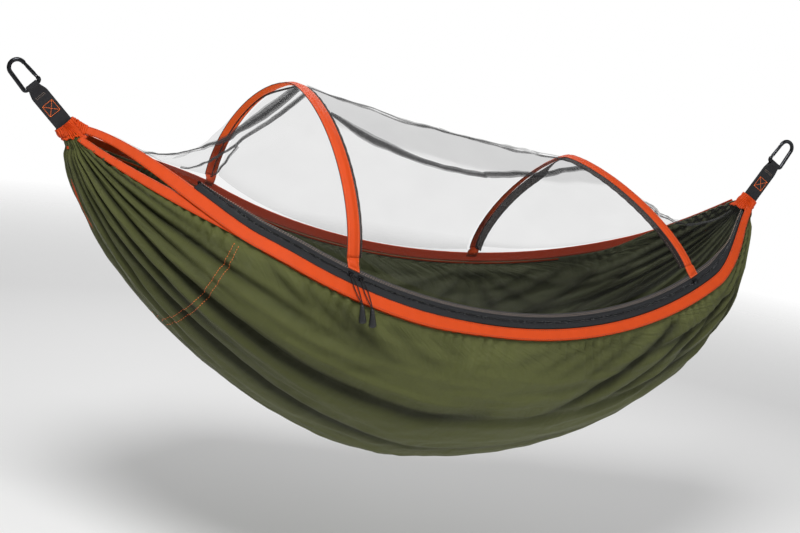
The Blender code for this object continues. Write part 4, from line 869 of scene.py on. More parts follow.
def orange_cloth(name, colour, painted_glow=BLACK):
    """Orange nylon binding: cross-ribbed weave, small puckers, a little wear, and a painted glow where its mark asks
    for one.
    """
    finish = Finish(name, colour, 0.50, Specular_IOR_Level=0.20, Emission_Strength=1.0)
    # Painted light: the cloth emits a glow of its own where the mark is set, though it is no lamp
    finish.set("Emission Color", finish.shade(BLACK, painted_glow, finish.mark("painted_glow_share").clamped()))
    clouds = finish.cloudy(16.0, 4.0, 0.6)
    fine = finish.cloudy(90.0, 4.0, 0.6)
    finish.set("Base Color", finish.shade(0.78, 1.12, (clouds * 0.65 + fine * 0.35).clamped()))
    finish.set("Roughness", 0.44 + 0.14 * clouds)
    weave = finish.weave(420.0, 420.0)
    finish.bump(weave * 0.18 + clouds * 0.5 + fine * 0.32, 0.0016, 0.6)
    return finish.material


def webbing(colour):
    """Woven charcoal webbing: broad ribs across, fine herringbone along."""
    finish = Finish("charcoal_webbing", colour, 0.66, Specular_IOR_Level=0.22)
    ribs = finish.ribs(150.0, "X", distortion=0.5)
    threads = finish.ribs(320.0, "Y", distortion=0.5)
    fibre = finish.cloudy(420.0, 3.0, 0.6)
    pattern = (ribs * 0.45 + threads * 0.3 + fibre * 0.25).clamped()
    finish.set("Base Color", finish.shade(0.55, 1.7, pattern))
    finish.set("Roughness", 0.52 + 0.16 * fibre)
    finish.bump(pattern, 0.0009, 0.8)
    return finish.material


def insect_net(name, colour, cover):
    """Fine knitted mesh: thin threads with open holes between, denser where it is doubled."""
    finish = Finish(name, colour, 0.62, Specular_IOR_Level=0.25)
    cells = finish.cloudy(260.0, 2.0, 0.7)
    drift = finish.cloudy(9.0, 3.0, 0.5)
    finish.set("Base Color", finish.shade(0.8, 1.35, cells))
    thickness = finish.mark("doubled").clamped()
    finish.set("Alpha", (cover * 0.72 + cover * 0.56 * drift + thickness * (0.92 - cover)).clamped())
    finish.material.surface_render_method = "DITHERED"
    return finish.material


def zip_tape(colour):
    """Black woven tape with lighter lines down its length, partly a line of weave and partly painted highlight."""
    finish = Finish("black_zip_tape", colour, 0.60, Specular_IOR_Level=0.22)
    ribs = finish.ribs(260.0, "X", distortion=0.6)
    lines = finish.ribs(240.0, "Y", distortion=0.3)
    waves = finish.cloudy(30.0, 3.0, 0.5)
    # Painted highlight: the lighter lines along the tape stand in for its gloss as well as its weave
    finish.set("Base Color", finish.shade(0.6, 2.3, (ribs * 0.3 + lines * 0.4 + waves * 0.3).clamped()))
    finish.set("Roughness", 0.40 + 0.25 * waves)
    finish.bump(ribs * 0.35 + lines * 0.35 + waves * 0.3, 0.0010, 0.8)
    return finish.material


def mesh_tape(name, colour, cover, light, painted_glow=BLACK):
    """Stiff mesh tape: a coarse knit, darker between its threads, partly transparent, and with a painted glow where one
    is given.
    """
    finish = Finish(name, colour, 0.66, Specular_IOR_Level=0.15, Emission_Strength=1.0)
    # Painted light: an even glow of its own colour, though the tape is no lamp
    finish.set("Emission Color", (*painted_glow, 1.0))
    knit = finish.weave(190.0, 170.0, (1.2, 1.0))
    speckle = finish.cloudy(240.0, 3.0, 0.65)
    pattern = (knit * 0.55 + speckle * 0.45).clamped()
    finish.set("Base Color", finish.shade(0.5, light, pattern))
    finish.set("Alpha", (cover - 0.10 + 0.20 * speckle).clamped())
    finish.bump(pattern, 0.0008, 0.8)
    return finish.material


def moulded(name, colour, roughness, coat=0.0):
    """Moulded plastic or rubber with a fine grain."""
    finish = Finish(name, colour, roughness, Coat_Weight=coat, Coat_Roughness=0.15)
    grains = finish.cloudy(650.0, 3.0, 0.6)
    marks = finish.cloudy(60.0, 4.0, 0.6)
    finish.set("Base Color", finish.shade(0.8, 1.4, (grains * 0.4 + marks * 0.6).clamped()))
    finish.set("Roughness", roughness - 0.05 + 0.12 * marks)
    finish.bump(grains, 0.00025, 0.5)
    return finish.material


def metal(name, colour, roughness):
    """Anodised or plain metal with faint brushing and small scuffs."""
    finish = Finish(name, colour, roughness, Metallic=1.0)
    brush = finish.cloudy(1.0, 3.0, 0.6, finish.stretched((60.0, 900.0, 60.0)))
    scuffs = finish.cloudy(110.0, 5.0, 0.7)
    finish.set("Base Color", finish.shade(0.85, 1.25, scuffs))
    finish.set("Roughness", roughness - 0.04 + 0.12 * scuffs)
    finish.bump(brush * 0.3 + scuffs * 0.7, 0.00012, 0.5)
    return finish.material


def thread(name, colour):
    """Twisted sewing thread."""
    finish = Finish(name, colour, 0.55, Sheen_Weight=0.2)
    twist = finish.cloudy(900.0, 2.0, 0.5)
    finish.set("Base Color", finish.shade(0.75, 1.15, twist))
    finish.bump(twist, 0.0002, 0.6)
    return finish.material


# Body cloth


# Valleys of the folds, near rim to far rim: place as a share of the turn, depth in metres, reach in metres
LEFT_VALLEYS = (
    (0.030, 0.008, 0.42), (0.078, 0.014, 0.62), (0.126, 0.011, 0.46), (0.178, 0.024, 1.06), (0.236, 0.014, 0.62),
    (0.292, 0.022, 1.00), (0.348, 0.013, 0.55), (0.402, 0.019, 0.86), (0.458, 0.013, 0.60), (0.512, 0.020, 0.90),
    (0.566, 0.013, 0.55), (0.620, 0.019, 0.95), (0.676, 0.012, 0.55), (0.730, 0.018, 0.90), (0.786, 0.012, 0.52),
    (0.838, 0.015, 0.75), (0.888, 0.010, 0.48), (0.936, 0.010, 0.45), (0.974, 0.006, 0.28),
)
RIGHT_VALLEYS = (
    (0.034, 0.008, 0.36), (0.084, 0.013, 0.52), (0.136, 0.010, 0.42), (0.188, 0.016, 0.66), (0.240, 0.011, 0.48),
    (0.292, 0.018, 0.78), (0.346, 0.011, 0.50), (0.398, 0.018, 0.86), (0.450, 0.012, 0.55), (0.500, 0.018, 0.90),
    (0.548, 0.011, 0.58), (0.594, 0.016, 0.86), (0.640, 0.011, 0.60), (0.684, 0.016, 0.88), (0.728, 0.010, 0.58),
    (0.770, 0.015, 0.80), (0.812, 0.010, 0.55), (0.852, 0.014, 0.70), (0.892, 0.010, 0.48), (0.930, 0.011, 0.50),
    (0.966, 0.007, 0.32),
)
# Drawn creases: from and to as (share of the rim, share of the turn), depth and width in metres
CREASES = (
    (0.780, 0.010, 0.560, 0.300, 0.0130, 0.015), (0.800, 0.075, 0.625, 0.250, 0.0110, 0.012),
    (0.860, 0.050, 0.700, 0.270, 0.0100, 0.012), (0.900, 0.100, 0.760, 0.330, 0.0090, 0.012),
    (0.690, 0.006, 0.580, 0.130, 0.0055, 0.014), (0.655, 0.006, 0.555, 0.115, 0.0045, 0.012),
    (0.720, 0.006, 0.615, 0.150, 0.0065, 0.014), (0.620, 0.006, 0.530, 0.085, 0.0040, 0.011),
    (0.330, 0.004, 0.440, 0.140, 0.0070, 0.020), (0.295, 0.004, 0.400, 0.120, 0.0055, 0.016),
    (0.390, 0.004, 0.490, 0.120, 0.0050, 0.018), (0.255, 0.004, 0.330, 0.080, 0.0060, 0.012),
    (0.440, 0.004, 0.505, 0.070, 0.0035, 0.012), (0.550, 0.150, 0.420, 0.230, 0.0040, 0.024),
    (0.800, 0.950, 0.660, 0.800, 0.0080, 0.013), (0.840, 0.920, 0.700, 0.760, 0.0080, 0.013),
    (0.760, 0.975, 0.620, 0.840, 0.0070, 0.013), (0.880, 0.880, 0.740, 0.700, 0.0080, 0.013),
    (0.720, 0.985, 0.640, 0.900, 0.0050, 0.010), (0.340, 0.980, 0.440, 0.820, 0.0060, 0.016),
    (0.280, 0.960, 0.380, 0.800, 0.0060, 0.014),
)
# Creases below the far foot of a hoop: steps along the rim and end of each, in the same shares
FOOT_CREASES = (
    (-0.110, 0.900, 0.0060, 0.011), (-0.075, 0.800, 0.0075, 0.013), (-0.025, 0.760, 0.0050, 0.012),
    (0.030, 0.740, 0.0075, 0.013), (0.085, 0.790, 0.0065, 0.012), (0.130, 0.880, 0.0055, 0.011),
)
# Small ridged wrinkles: shares of the rim and of the turn in each of two noise ways, level, height and seed
WRINKLES = (
    ((5.5, 0.0), (0.0, 30.0), 0.40, 0.0110, 3.1),
    ((26.0, 0.0), (0.0, 50.0), 0.35, 0.0036, 11.7),
    ((24.0, 16.0), (12.0, 20.0), 0.30, 0.0048, 41.3),
)
CROSS_SEAM_SHARES = (0.2235, 0.2295)
# Bound edge, as shares of the rim and of the turn
EDGE_BINDING = ((0.012, 0.38), (0.04, 0.465), (0.08, 0.475), (0.15, 0.465))
EDGE_BINDING_HALF_WIDTH = 0.0042
CLOTH_ROWS = 260
CLOTH_COLUMNS = 208
GATHER_ROWS = 9
CLOTH_SKIN = 0.0012
GATHER_INSET = 0.0048
RIDGE_RISE = 0.0045
ROW_CROWDING = 0.40
GATHER_START = 0.30
GATHER_DRAW = 0.22
FOLD_WIDTH = 0.0088
FOLD_LIMIT = 0.030
FOLD_SHARPNESS = 1.15
CREASE_BOW = 0.010
CREASE_GAIN = 1.45
CREASE_SHARPNESS = 1.2
FAR_LIFT = 0.050
FAR_EDGE_RISE = 0.0075


def mouth_ring(points, side, centre):
    """Where points round a gather meet the collar's mouth on the webbing."""
    out, across = strap_ways(side)
    half_width = STRAP_WIDTH / 2 + COLLAR_THICKNESS + COLLAR_MOUTH_EASE
    half_thick = COLLAR_MOUTH_THICKNESS / 2
    offset = points - centre
    angle = np.arctan2(offset @ across / half_width, offset[:, 1] / half_thick)[:, None]
    mouth = gather_of(side) + out * COLLAR_MOUTH_OUT
    return mouth + across * half_width * np.sin(angle) + ACROSS * half_thick * np.cos(angle)


def gather_loft(side, mouth, wide, part):
    """Places on the way from the mouth, part 0, to the wide end of a gather, part 1."""
    out, _ = strap_ways(side)
    pull = COLLAR_LENGTH + COLLAR_MOUTH_OUT
    return hermite(mouth, -out * pull, wide, fan_way(side) * pull, part)


def groove(away, sharpness):
    """Depth across a fold as a share, from its bottom outward, by a distance in widths of the fold."""
    return np.exp(-(np.sqrt(away**2 + 0.09) - 0.3) * sharpness)


def narrower(share):
    """How far the hem is drawn in, from 0 left of the middle to 1 along the right part."""
    return smooth((share - 0.42) / 0.10) * (1 - smooth((share - 0.86) / 0.08))


class Cloth:
    """The folded body cloth as a grid of places, with the ways out of it and the depth of its folds."""

    def __init__(self, depth_share):
        turns = np.linspace(0.0, pi, CLOTH_COLUMNS + 1)
        first, last = (np.array([cloth_share(side, turn) for turn in turns]) for side in (-1, 1))
        even = np.linspace(0.0, 1.0, CLOTH_ROWS + 1)
        spread = even - ROW_CROWDING * np.sin(2 * pi * even) / (2 * pi)
        self.shares = first[None, :] + (last - first)[None, :] * spread[:, None]
        self.turns = np.broadcast_to(turns, self.shares.shape)
        self.around = self.turns / pi
        base = self.raised(smooth_cloth(self.shares, self.turns))
        girth = np.linalg.norm(np.diff(base, axis=1), axis=2).sum(axis=1)[:, None]
        rim = np.minimum(self.around, 1 - self.around)
        from_left = np.maximum(self.shares - first[None, :], 0.0) * RIM_LENGTH
        from_right = np.maximum(last[None, :] - self.shares, 0.0) * RIM_LENGTH
        from_end = np.minimum(from_left, from_right)
        inset = GATHER_INSET * (1 - smooth(from_end / 0.030))
        middle = smooth(from_end / 0.35)
        depth = (self.folds(girth, from_left, from_right) + self.creases(girth)) * depth_share
        depth = depth * smooth(rim / (0.014 + 0.012 * middle))
        ridge = RIDGE_RISE * smooth(rim / 0.04) * smooth(from_end / 0.05)
        # Valley mark for painted shade: deeper folds get a darker colour
        self.valley = np.clip(depth / np.minimum(0.016, 0.018 * girth + 0.001), 0.0, 1.3)
        self.main = base + ways_out(base) * (ridge - depth - inset + self.wrinkles(rim))[..., None]
        self.main_out = ways_out(self.main)
        self.add_gathers()

    def raised(self, base):
        """Lifts both edges along the right part, the far one most, where it stands up in front of the hem."""
        share = self.around
        lift = smooth((self.shares - 0.80) / 0.09) * smooth((share - 0.86) / 0.14)
        _, _, up, out = frame_on(rim_at, self.shares)
        taper = hem_taper(self.shares)[..., None]
        near = NEAR_HEM_RAISE * narrower(self.shares) * (1 - smooth(share / 0.07))
        far = FAR_EDGE_RISE * smooth((share - 0.92) / 0.08) * (1 - lift)
        near = near[..., None] * up + far[..., None] * taper * up * MIRRORED
        return base + (up * FAR_LIFT * taper - out * 0.003) * MIRRORED * lift[..., None] + near

    def folds(self, girth, from_left, from_right):
        """Depth below the ridges: sharp valleys that fade out along the cloth."""
        share = self.around
        depth = np.zeros_like(share)
        for valleys, run in ((LEFT_VALLEYS, from_left), (RIGHT_VALLEYS, from_right)):
            for index, (place, deep, reach) in enumerate(valleys):
                wander = 0.005 * np.sin(run * 5.0 + index * 1.7) + 0.006 * np.sin(run * 2.3 + index * 2.9)
                wander = wander * smooth(run / 0.45)
                away = np.abs(share - place - wander) / (FOLD_WIDTH * (1 + smooth(run)))
                most = np.minimum(deep * (1.05 + 0.75 * smooth(run / 0.4)), FOLD_LIMIT * girth)
                depth += groove(away, FOLD_SHARPNESS) * most * bell(run, reach, 2.8)
        return depth

    def creases(self, girth):
        """Depth of the drawn creases, each fading in and out along its bowed line."""
        share = self.around
        depth = np.zeros_like(share)
        lines = list(CREASES)
        for hoop, strength in ((HOOP_2, 1.0), (HOOP_1, 0.7)):
            lines += [
                (hoop.far_share, 0.996, hoop.far_share + step, end, deep * strength, wide)
                for step, end, deep, wide in FOOT_CREASES
            ]
        for s0, t0, s1, t1, deep, wide in lines:
            x, y = (self.shares - s0) * RIM_LENGTH, (share - t0) * girth
            way = np.array([(s1 - s0) * RIM_LENGTH, (t1 - t0) * float(girth.mean())])
            length = np.linalg.norm(way)
            way = way / length
            along = (x * way[0] + y * way[1]) / length
            bow = CREASE_BOW * np.sin(pi * np.clip(along, 0, 1))
            off = np.abs(y * way[0] - x * way[1] - bow) / wide
            fade = smooth(along / 0.12) * smooth((1 - along) / 0.45)
            depth += CREASE_GAIN * deep * fade * groove(off, CREASE_SHARPNESS)
        return depth

    def wrinkles(self, rim):
        """Small creases: drag lines along the folds, puckers under the hem and beside the cross seam."""
        share, s = self.around, self.shares
        small = 0.0
        for (a, b), (c, d), level, height, seed in WRINKLES:
            small = small + (level - np.abs(noise_over(s * a + share * b, s * c + share * d, 0.0, seed))) * height
        # Painted shade: the wrinkles' creases darken the colour too
        self.valley = self.valley + 0.22 * np.clip(-small / 0.0040, 0.0, 1.0)
        broad = 0.0060 * noise_over(s * 4.0 + share * 3.0, share * 7.0, 0.0, 27.0)
        run = s * RIM_LENGTH
        pucker = np.sin(run * 2 * pi / 0.033 + 2.5 * np.sin(s * 40.0)) * (0.6 + 0.5 * np.sin(run * 17.0))
        pucker = pucker * 0.0070 * bell(rim, 0.050, 1.5)
        beside = (s - sum(CROSS_SEAM_SHARES) / 2) * RIM_LENGTH
        drawn = np.sin(share * 330.0 + 3.0 * np.sin(share * 41.0)) * 0.0016 * bell(beside, 0.024)
        sunk = -0.0018 * bell(beside, 0.006)
        inner = (small + broad * smooth(rim / 0.2) + drawn + sunk) * smooth(rim / 0.03)
        return inner + pucker * smooth(rim / 0.006)

    def add_gathers(self):
        """Carries the cloth on into the collars, closer at each row."""
        grids, marks = [], []
        for side, end in ((-1, 0), (1, -1)):
            edge = self.main[end]
            centre = (edge[0] + edge[-1]) / 2 * 0.6 + edge[len(edge) // 2] * 0.4
            mouth = mouth_ring(edge, side, centre)
            mouth = mouth + (gather_of(side) - mouth) * GATHER_DRAW
            parts = np.linspace(GATHER_START, 1.0, GATHER_ROWS + 1)[:-1]
            rows = [gather_loft(side, mouth, edge, part) for part in parts]
            grids.append(np.array(rows)[::-side])
            marks.append(np.broadcast_to(self.valley[end], grids[-1].shape[:2]))
        self.points = np.concatenate([grids[0], self.main, grids[1]])
        self.valley = np.concatenate([marks[0], self.valley, marks[1]])
        across = shares_over(self.points)[1]
        # Farther mark for the far half's painted interior tone
        self.farther = smooth((across - 0.52) / 0.2) + np.zeros(self.valley.shape)

    def at(self, share, turn):
        """Places and ways out at any share and turn, between the grid's own."""
        share, turn = np.asarray(share, float), np.asarray(turn, float)
        column = np.clip(turn / pi * CLOTH_COLUMNS, 0, CLOTH_COLUMNS - 1e-6)
        left = column.astype(int)
        part = column - left
        place, out = [], []
        for s, c, p in zip(share.ravel(), left.ravel(), part.ravel()):
            shares = self.shares[:, c] * (1 - p) + self.shares[:, c + 1] * p
            for grid, found in ((self.main, place), (self.main_out, out)):
                found.append(follow(s, shares, grid[:, c] * (1 - p) + grid[:, c + 1] * p))
        return np.array(place), unit(np.array(out))


# Hoops


class Hoop:
    """The arch between two feet on the rims: their sweeps, its height, its lean and the power of its curve."""

    def __init__(self, name, near_sweep, far_sweep, height, lean, power):
        self.name = name
        self.near_share = share_of_sweep(near_sweep)
        self.far_share = share_of_sweep(far_sweep)
        self.near = arc_point(near_sweep, RIM_RADIUS - NET_TAPE[1] - FOOT_RISE)
        self.far = on_band(rim_at, self.far_share, HEM_WIDTH / 2 + FOOT_RISE, 0.0) * MIRRORED
        self.over = unit(self.far - self.near)
        up = unit(UPWARD - self.over * (UPWARD @ self.over))
        self.up = up * cos(lean) + np.cross(self.over, up) * sin(lean)
        self.square = np.cross(self.over, self.up)
        angles = np.linspace(0.0, pi, 241)[:, None]
        power = 2 / power
        across = np.sign(np.cos(angles)) * np.abs(np.cos(angles)) ** power
        middle, half = (self.near + self.far) / 2, (self.far - self.near) / 2
        self.dense = middle - half * across + self.up * height * np.abs(np.sin(angles)) ** power
        run = run_along(self.dense)
        self.length = run[-1]
        self.shares = run / run[-1]

    def at(self, share):
        return follow(np.asarray(share, float), self.shares, self.dense)

    def foot(self, end):
        """The near or far foot, and the way in which the leg leaves it."""
        foot, other = (self.near, 1 / HOOP_STEPS) if end == "near" else (self.far, 1 - 1 / HOOP_STEPS)
        return foot, unit(self.at(other) - foot)

    def line(self, steps):
        """Middle line of the sleeve, between the gaps at its feet."""
        gap = SLEEVE_FOOT_GAP / self.length
        return self.at(gap + (1 - 2 * gap) * np.linspace(0.0, 1.0, steps + 1))


HOOP_1 = Hoop("hoop_1", radians(-22.2), radians(-29.5), 0.356, radians(1.0), 1.64)
HOOP_2 = Hoop("hoop_2", radians(29.4), radians(10.4), 0.305, radians(-10.5), 1.37)
# Painted glow on a sleeve's inner face, as a share: the cloth there emits light of its own
SLEEVE_PAINTED_GLOW = {"hoop_1": 1.0, "hoop_2": 0.16}
BINDING_SHOWN = {"hoop_1": 0.0055, "hoop_2": 0.0245}


# Settings


def length_property(name, description, default):
    return FloatProperty(name=name, description=description, default=default, min=0.0, unit="LENGTH", precision=4)


def colour_property(name, description, default):
    return FloatVectorProperty(
        name=name, description=description, default=default, subtype="COLOR", size=3, min=0.0, max=1.0
    )


class HammockSizes(PropertyGroup):
    """Sizes that a user would change."""

    fold_depth: FloatProperty(
        name="Fold depth", description="Share of the usual depth of the cloth's folds", default=1.0, min=0.0, max=1.5,
        subtype="FACTOR",
    )
    stitch_length: length_property("Stitch length", "Length of one stitch on hems and sleeves", 0.0040)
    stitch_gap: length_property("Stitch gap", "Space between stitches", 0.0022)
    hem_crown: length_property("Hem crown", "How far the folded hems stand out between their stitch lines", 0.0008)
    tooth_pitch: length_property("Zip pitch", "Distance from one tooth of the zip's coil to the next", 0.0021)
    ruche_count: IntProperty(name="Ruches", description="Folds round each gathered collar", default=30, min=6, max=60)
    net_cover: FloatProperty(
        name="Net cover", description="How much of the view one layer of net covers", default=0.105, min=0.02, max=0.9,
        subtype="FACTOR",
    )


class HammockColours(PropertyGroup):
    """Colours of the finishes."""

    olive: colour_property("Body cloth", "Olive nylon", (0.092, 0.101, 0.029))
    orange: colour_property("Binding", "Orange nylon", (0.58, 0.057, 0.004))
    webbing: colour_property("Webbing", "Charcoal webbing", (0.015, 0.015, 0.017))
    net: colour_property("Net", "Insect net", (0.030, 0.030, 0.031))
    tape: colour_property("Zip tape", "Black zip tape", (0.0115, 0.0120, 0.0135))
    thread: colour_property("Orange thread", "Stitches of the webbing and the cross seam", (0.95, 0.17, 0.012))
    alloy: colour_property("Ring alloy", "Black alloy of the carabiners and sliders", (0.030, 0.031, 0.034))


class Made:
    """Finishes and the cloth's shape, each made once and shared by the operators."""

    finishes = {}
    cloth = None


def finish_of(name):
    """A named finish, made once, in the colours of the scene's settings."""
    if name not in Made.finishes:
        colours = bpy.context.scene.hammock_colours
        orange, net = tuple(colours.orange), tuple(colours.net)
        makers = {
            "olive": lambda: olive_cloth(tuple(colours.olive)),
            "orange": lambda: orange_cloth("orange_nylon", orange),
            # The sleeve's finish is orange nylon with a painted orange glow
            "sleeve": lambda: orange_cloth("orange_sleeve", orange, painted_glow=(0.52, 0.070, 0.008)),
            "orange_thread": lambda: thread("orange_thread", tuple(colours.thread)),
            "hem_thread": lambda: thread("hem_thread", tuple(channel * 0.34 for channel in orange)),
            "pale_thread": lambda: thread("pale_thread", (0.86, 0.30, 0.12)),
            "tan_thread": lambda: thread("tan_thread", (0.36, 0.26, 0.20)),
            "piping": lambda: moulded("black_piping", (0.020, 0.018, 0.018), 0.6),
            "webbing": lambda: webbing(tuple(colours.webbing)),
            "net": lambda: insect_net("insect_net", net, bpy.context.scene.hammock_sizes.net_cover),
            "net_fold": lambda: insect_net("doubled_net", net, 0.44),
            "tape": lambda: zip_tape(tuple(colours.tape)),
            "coil": lambda: moulded("black_coil", tuple(channel * 1.5 for channel in colours.tape), 0.26, coat=0.5),
            "net_tape": lambda: mesh_tape("net_tape", (0.036, 0.034, 0.034), 0.96, 2.2),
            # The far tape carries a dim painted orange glow
            "far_tape": lambda: mesh_tape("far_net_tape", (0.050, 0.018, 0.012), 0.40, 1.6, (0.20, 0.026, 0.010)),
            "binding": lambda: mesh_tape("hoop_binding", (0.020, 0.015, 0.014), 0.80, 2.0),
            "alloy": lambda: metal("black_alloy", tuple(colours.alloy), 0.24),
            "steel": lambda: metal("bright_steel", (0.55, 0.55, 0.56), 0.28),
            "rubber": lambda: moulded("black_rubber", (0.006, 0.0063, 0.007), 0.42),
            "cord": lambda: webbing((0.018, 0.016, 0.016)),
        }
        Made.finishes[name] = makers[name]()
    return Made.finishes[name]


def cloth_shape():
    """The body cloth, folded as deep as the scene's settings say."""
    if Made.cloth is None:
        Made.cloth = Cloth(bpy.context.scene.hammock_sizes.fold_depth)
    return Made.cloth


# Operators


class HAMMOCK_OT_body(Operator):
    """Body cloth with its folds, the twin cross seam and the bound edge on its left part"""

    bl_idname = "hammock.body"
    bl_label = "Body Cloth"

    def execute(self, context):
        cloth = cloth_shape()
        # Its valley mark paints shade into the folds; its farther mark paints the interior tone on the far half
        obj = cloth_piece(
            "body_cloth", cloth.points, "olive", ["body_fabric"], "olive_nylon", thick=CLOTH_SKIN,
            marks={"valley": cloth.valley, "farther": cloth.farther},
        )
        rows = []
        turns = np.linspace(0.012, 0.988, 340) * pi
        for share in CROSS_SEAM_SHARES:
            rows += both_faces(*cloth.at(np.full(len(turns), share), turns), 0.0011)
        stitch_rows("cross_seam_stitches", rows, "orange_thread", CROSS_SEAM_STITCH)
        self.edge_binding(cloth)
        return {"FINISHED"}

    def edge_binding(self, cloth):
        """Bound edge from the left gather along the cloth, which runs out narrow."""
        knots = np.array(EDGE_BINDING)
        shares = np.linspace(knots[0, 0], knots[-1, 0], 60)
        place, out = cloth.at(shares, np.interp(shares, knots[:, 0], knots[:, 1]) * pi)
        side = np.cross(out, headings(place))
        half = EDGE_BINDING_HALF_WIDTH * np.sqrt(np.clip(1 - np.linspace(0.0, 1.0, 60) ** 3, 0.02, 1.0))
        grid = [place + out * 0.0016 + side * (half * part)[:, None] for part in np.linspace(-1.0, 1.0, 5)]
        cloth_piece("edge_binding", np.stack(grid, axis=1), thick=0.0012)


def swell(part):
    """Share of a band's crown at a part of its width: full between the stitch lines, none at the edges."""
    return 1 - abs(2 * part - 1) ** 5


def band_points(line, shares, low, high, columns, out=0.0, crown=0.0, ripple=0.0, seed=0.0):
    """Places of a strip along a rim line: a soft crown between its stitch lines, small ripples along it."""
    run = shares * RIM_LENGTH
    grid = []
    for column in range(columns + 1):
        part = column / columns
        wave = ripple * (
            np.sin(run * 2 * pi / 0.043 + seed + 2.2 * part + 1.5 * np.sin(run * 21.0 + seed))
            + 0.6 * np.sin(run * 2 * pi / 0.019 + 3 * part + seed)
        )
        wave = wave * (0.35 + 0.65 * sin(pi * part))
        grid.append(on_band(line, shares, low + (high - low) * part, out + crown * swell(part) + wave))
    return np.stack(grid, axis=1)


class HAMMOCK_OT_hems(Operator):
    """Orange hems along both rims, with their stitch lines"""

    bl_idname = "hammock.hems"
    bl_label = "Hems"

    def execute(self, context):
        sizes = context.scene.hammock_sizes
        half = HEM_WIDTH / 2
        last = collar_share(top_hem_at, 1, COLLAR_LENGTH * 0.5)
        near = np.linspace(TINY_SHARE, last, BAND_STEPS)
        inner = np.linspace(collar_share(rim_at, -1, COLLAR_LENGTH * 0.4), HEM_SPLIT_SHARE + LOW_HEM_TUCK_SHARE, 121)
        far = np.linspace(TINY_SHARE, collar_share(rim_at, 1, COLLAR_LENGTH * 0.5), BAND_STEPS)
        near_low = -half + NEAR_HEM_TRIM[0] + NEAR_HEM_RAISE * narrower(near)
        behind = -HEM_THICKNESS - 3 * CLEARANCE
        face = HEM_THICKNESS * 0.31 + 0.0004
        stitches = []
        for name, line, shares, low, high, out, mirror in (
            ("near_hem", top_hem_at, near, near_low, half - NEAR_HEM_TRIM[1], 0.0, 1.0),
            ("near_lower_hem", rim_at, inner, 0 * inner - LOW_HEM_WIDTH / 2, LOW_HEM_WIDTH / 2, behind, 1.0),
            ("far_hem", rim_at, far, -low_hem_width(far) / 2, half, 0.0, MIRRORED),
        ):
            points = band_points(line, shares, low, high, 10, out, sizes.hem_crown, HEM_RIPPLE, seed=len(stitches))
            cloth_piece(name + "_band", points * mirror, nodes=[name], thick=HEM_SKIN)
            for inset in HEM_STITCH_INSETS:
                row = on_band(line, shares, low + (high - low) * inset, out + face + sizes.hem_crown * swell(inset))
                stitches.append((row * mirror, frame_on(line, shares)[3] * mirror))
        self.tail("near_hem", top_hem_at, 1.0)
        self.tail("far_hem", rim_at, MIRRORED)
        self.edge_fold(far)
        self.lining(np.linspace(HEM_SPLIT_SHARE + 0.01, last, 321))
        stitch_rows("hem_stitches", stitches, "hem_thread", (sizes.stitch_length, sizes.stitch_gap, HEM_STITCH_WIDTH))
        return {"FINISHED"}

    def lining(self, shares):
        """Strip between the near hem's back and the cloth's top edge."""
        up = frame_on(rim_at, shares)[2]
        raised = NEAR_HEM_RAISE * narrower(shares)
        edge = cloth_edge(shares) + up * raised[:, None]
        height = CLOTH_TUCK - low_hem_width(shares) / 2 + raised / hem_taper(shares) + HEM_LINING_TOP
        back = on_band(rim_at, shares, height, -HEM_THICKNESS * 0.4)
        rows = [edge - up * 0.0030, edge + up * 0.0016, (edge + back) / 2 + up * 0.0016, back]
        cloth_piece("near_hem_lining", np.stack(rows, axis=1))

    def tail(self, name, line, mirror):
        """Ruffled end of a hem, drawn up to the left collar's corner."""
        across = strap_ways(-1)[1]
        end, along, up, out = frame_on(line, TINY_SHARE)
        start = LEFT_GATHER + across * 0.024 - ACROSS * 0.004
        start_pull = (across * 0.2 - UPWARD * 0.3 + np.array([1.0, 0.0, 0.0])) * 0.03
        steps = np.linspace(0.0, 1.0, 61)
        middle = hermite(start, start_pull, end, along * 0.04, steps)
        width = TAIL_WIDTH + (HEM_WIDTH * HEM_GATHER_SHARE - TAIL_WIDTH) * smooth(steps)
        grid = []
        for part in np.linspace(-0.5, 0.5, 9):
            ruffle = TAIL_RUFFLE * np.sin(steps * 40.0 + 4.0 * part + 2.0 * np.sin(steps * 9.0))
            ruffle = ruffle * (1 - 0.8 * smooth(steps))
            grid.append(middle + up * (width * part)[:, None] + out * ruffle[:, None])
        cloth_piece(name + "_tail", np.stack(grid, axis=1) * mirror, thick=HEM_SKIN)

    def edge_fold(self, shares):
        """Folded orange edge that holds the far cloth's own edge."""
        points = band_points(rim_at, shares[20:-100], *EDGE_FOLD, 4, -EDGE_FOLD_INSET, 0.0008, 0.0004, 2.0)
        cloth_piece("far_edge_fold", points * MIRRORED, thick=0.0010)


def net_tape_top(share):
    """Height of the net tape's upper edge, narrow at the zip's start and beyond its last slider."""
    widening = (0.35 + 0.65 * smooth((share - ZIP_START_SHARE) / 0.20)) * (1 - 0.8 * smooth((share - 0.855) / 0.05))
    return NET_TAPE[0] + (NET_TAPE[1] - NET_TAPE[0]) * widening


def gathered_in(share, height):
    """Height in the zip band, pointed at its start and drawn in toward the hem beyond the last slider."""
    above = np.maximum(height - UPPER_COIL[1], 0.0)
    height = height - above * (1 - smooth((share - ZIP_START_SHARE) / 0.07))
    return LOWER_TAPE[0] + (height - LOWER_TAPE[0]) * (1 - 0.46 * smooth((share - LAST_SLIDER_SHARE) / 0.05))


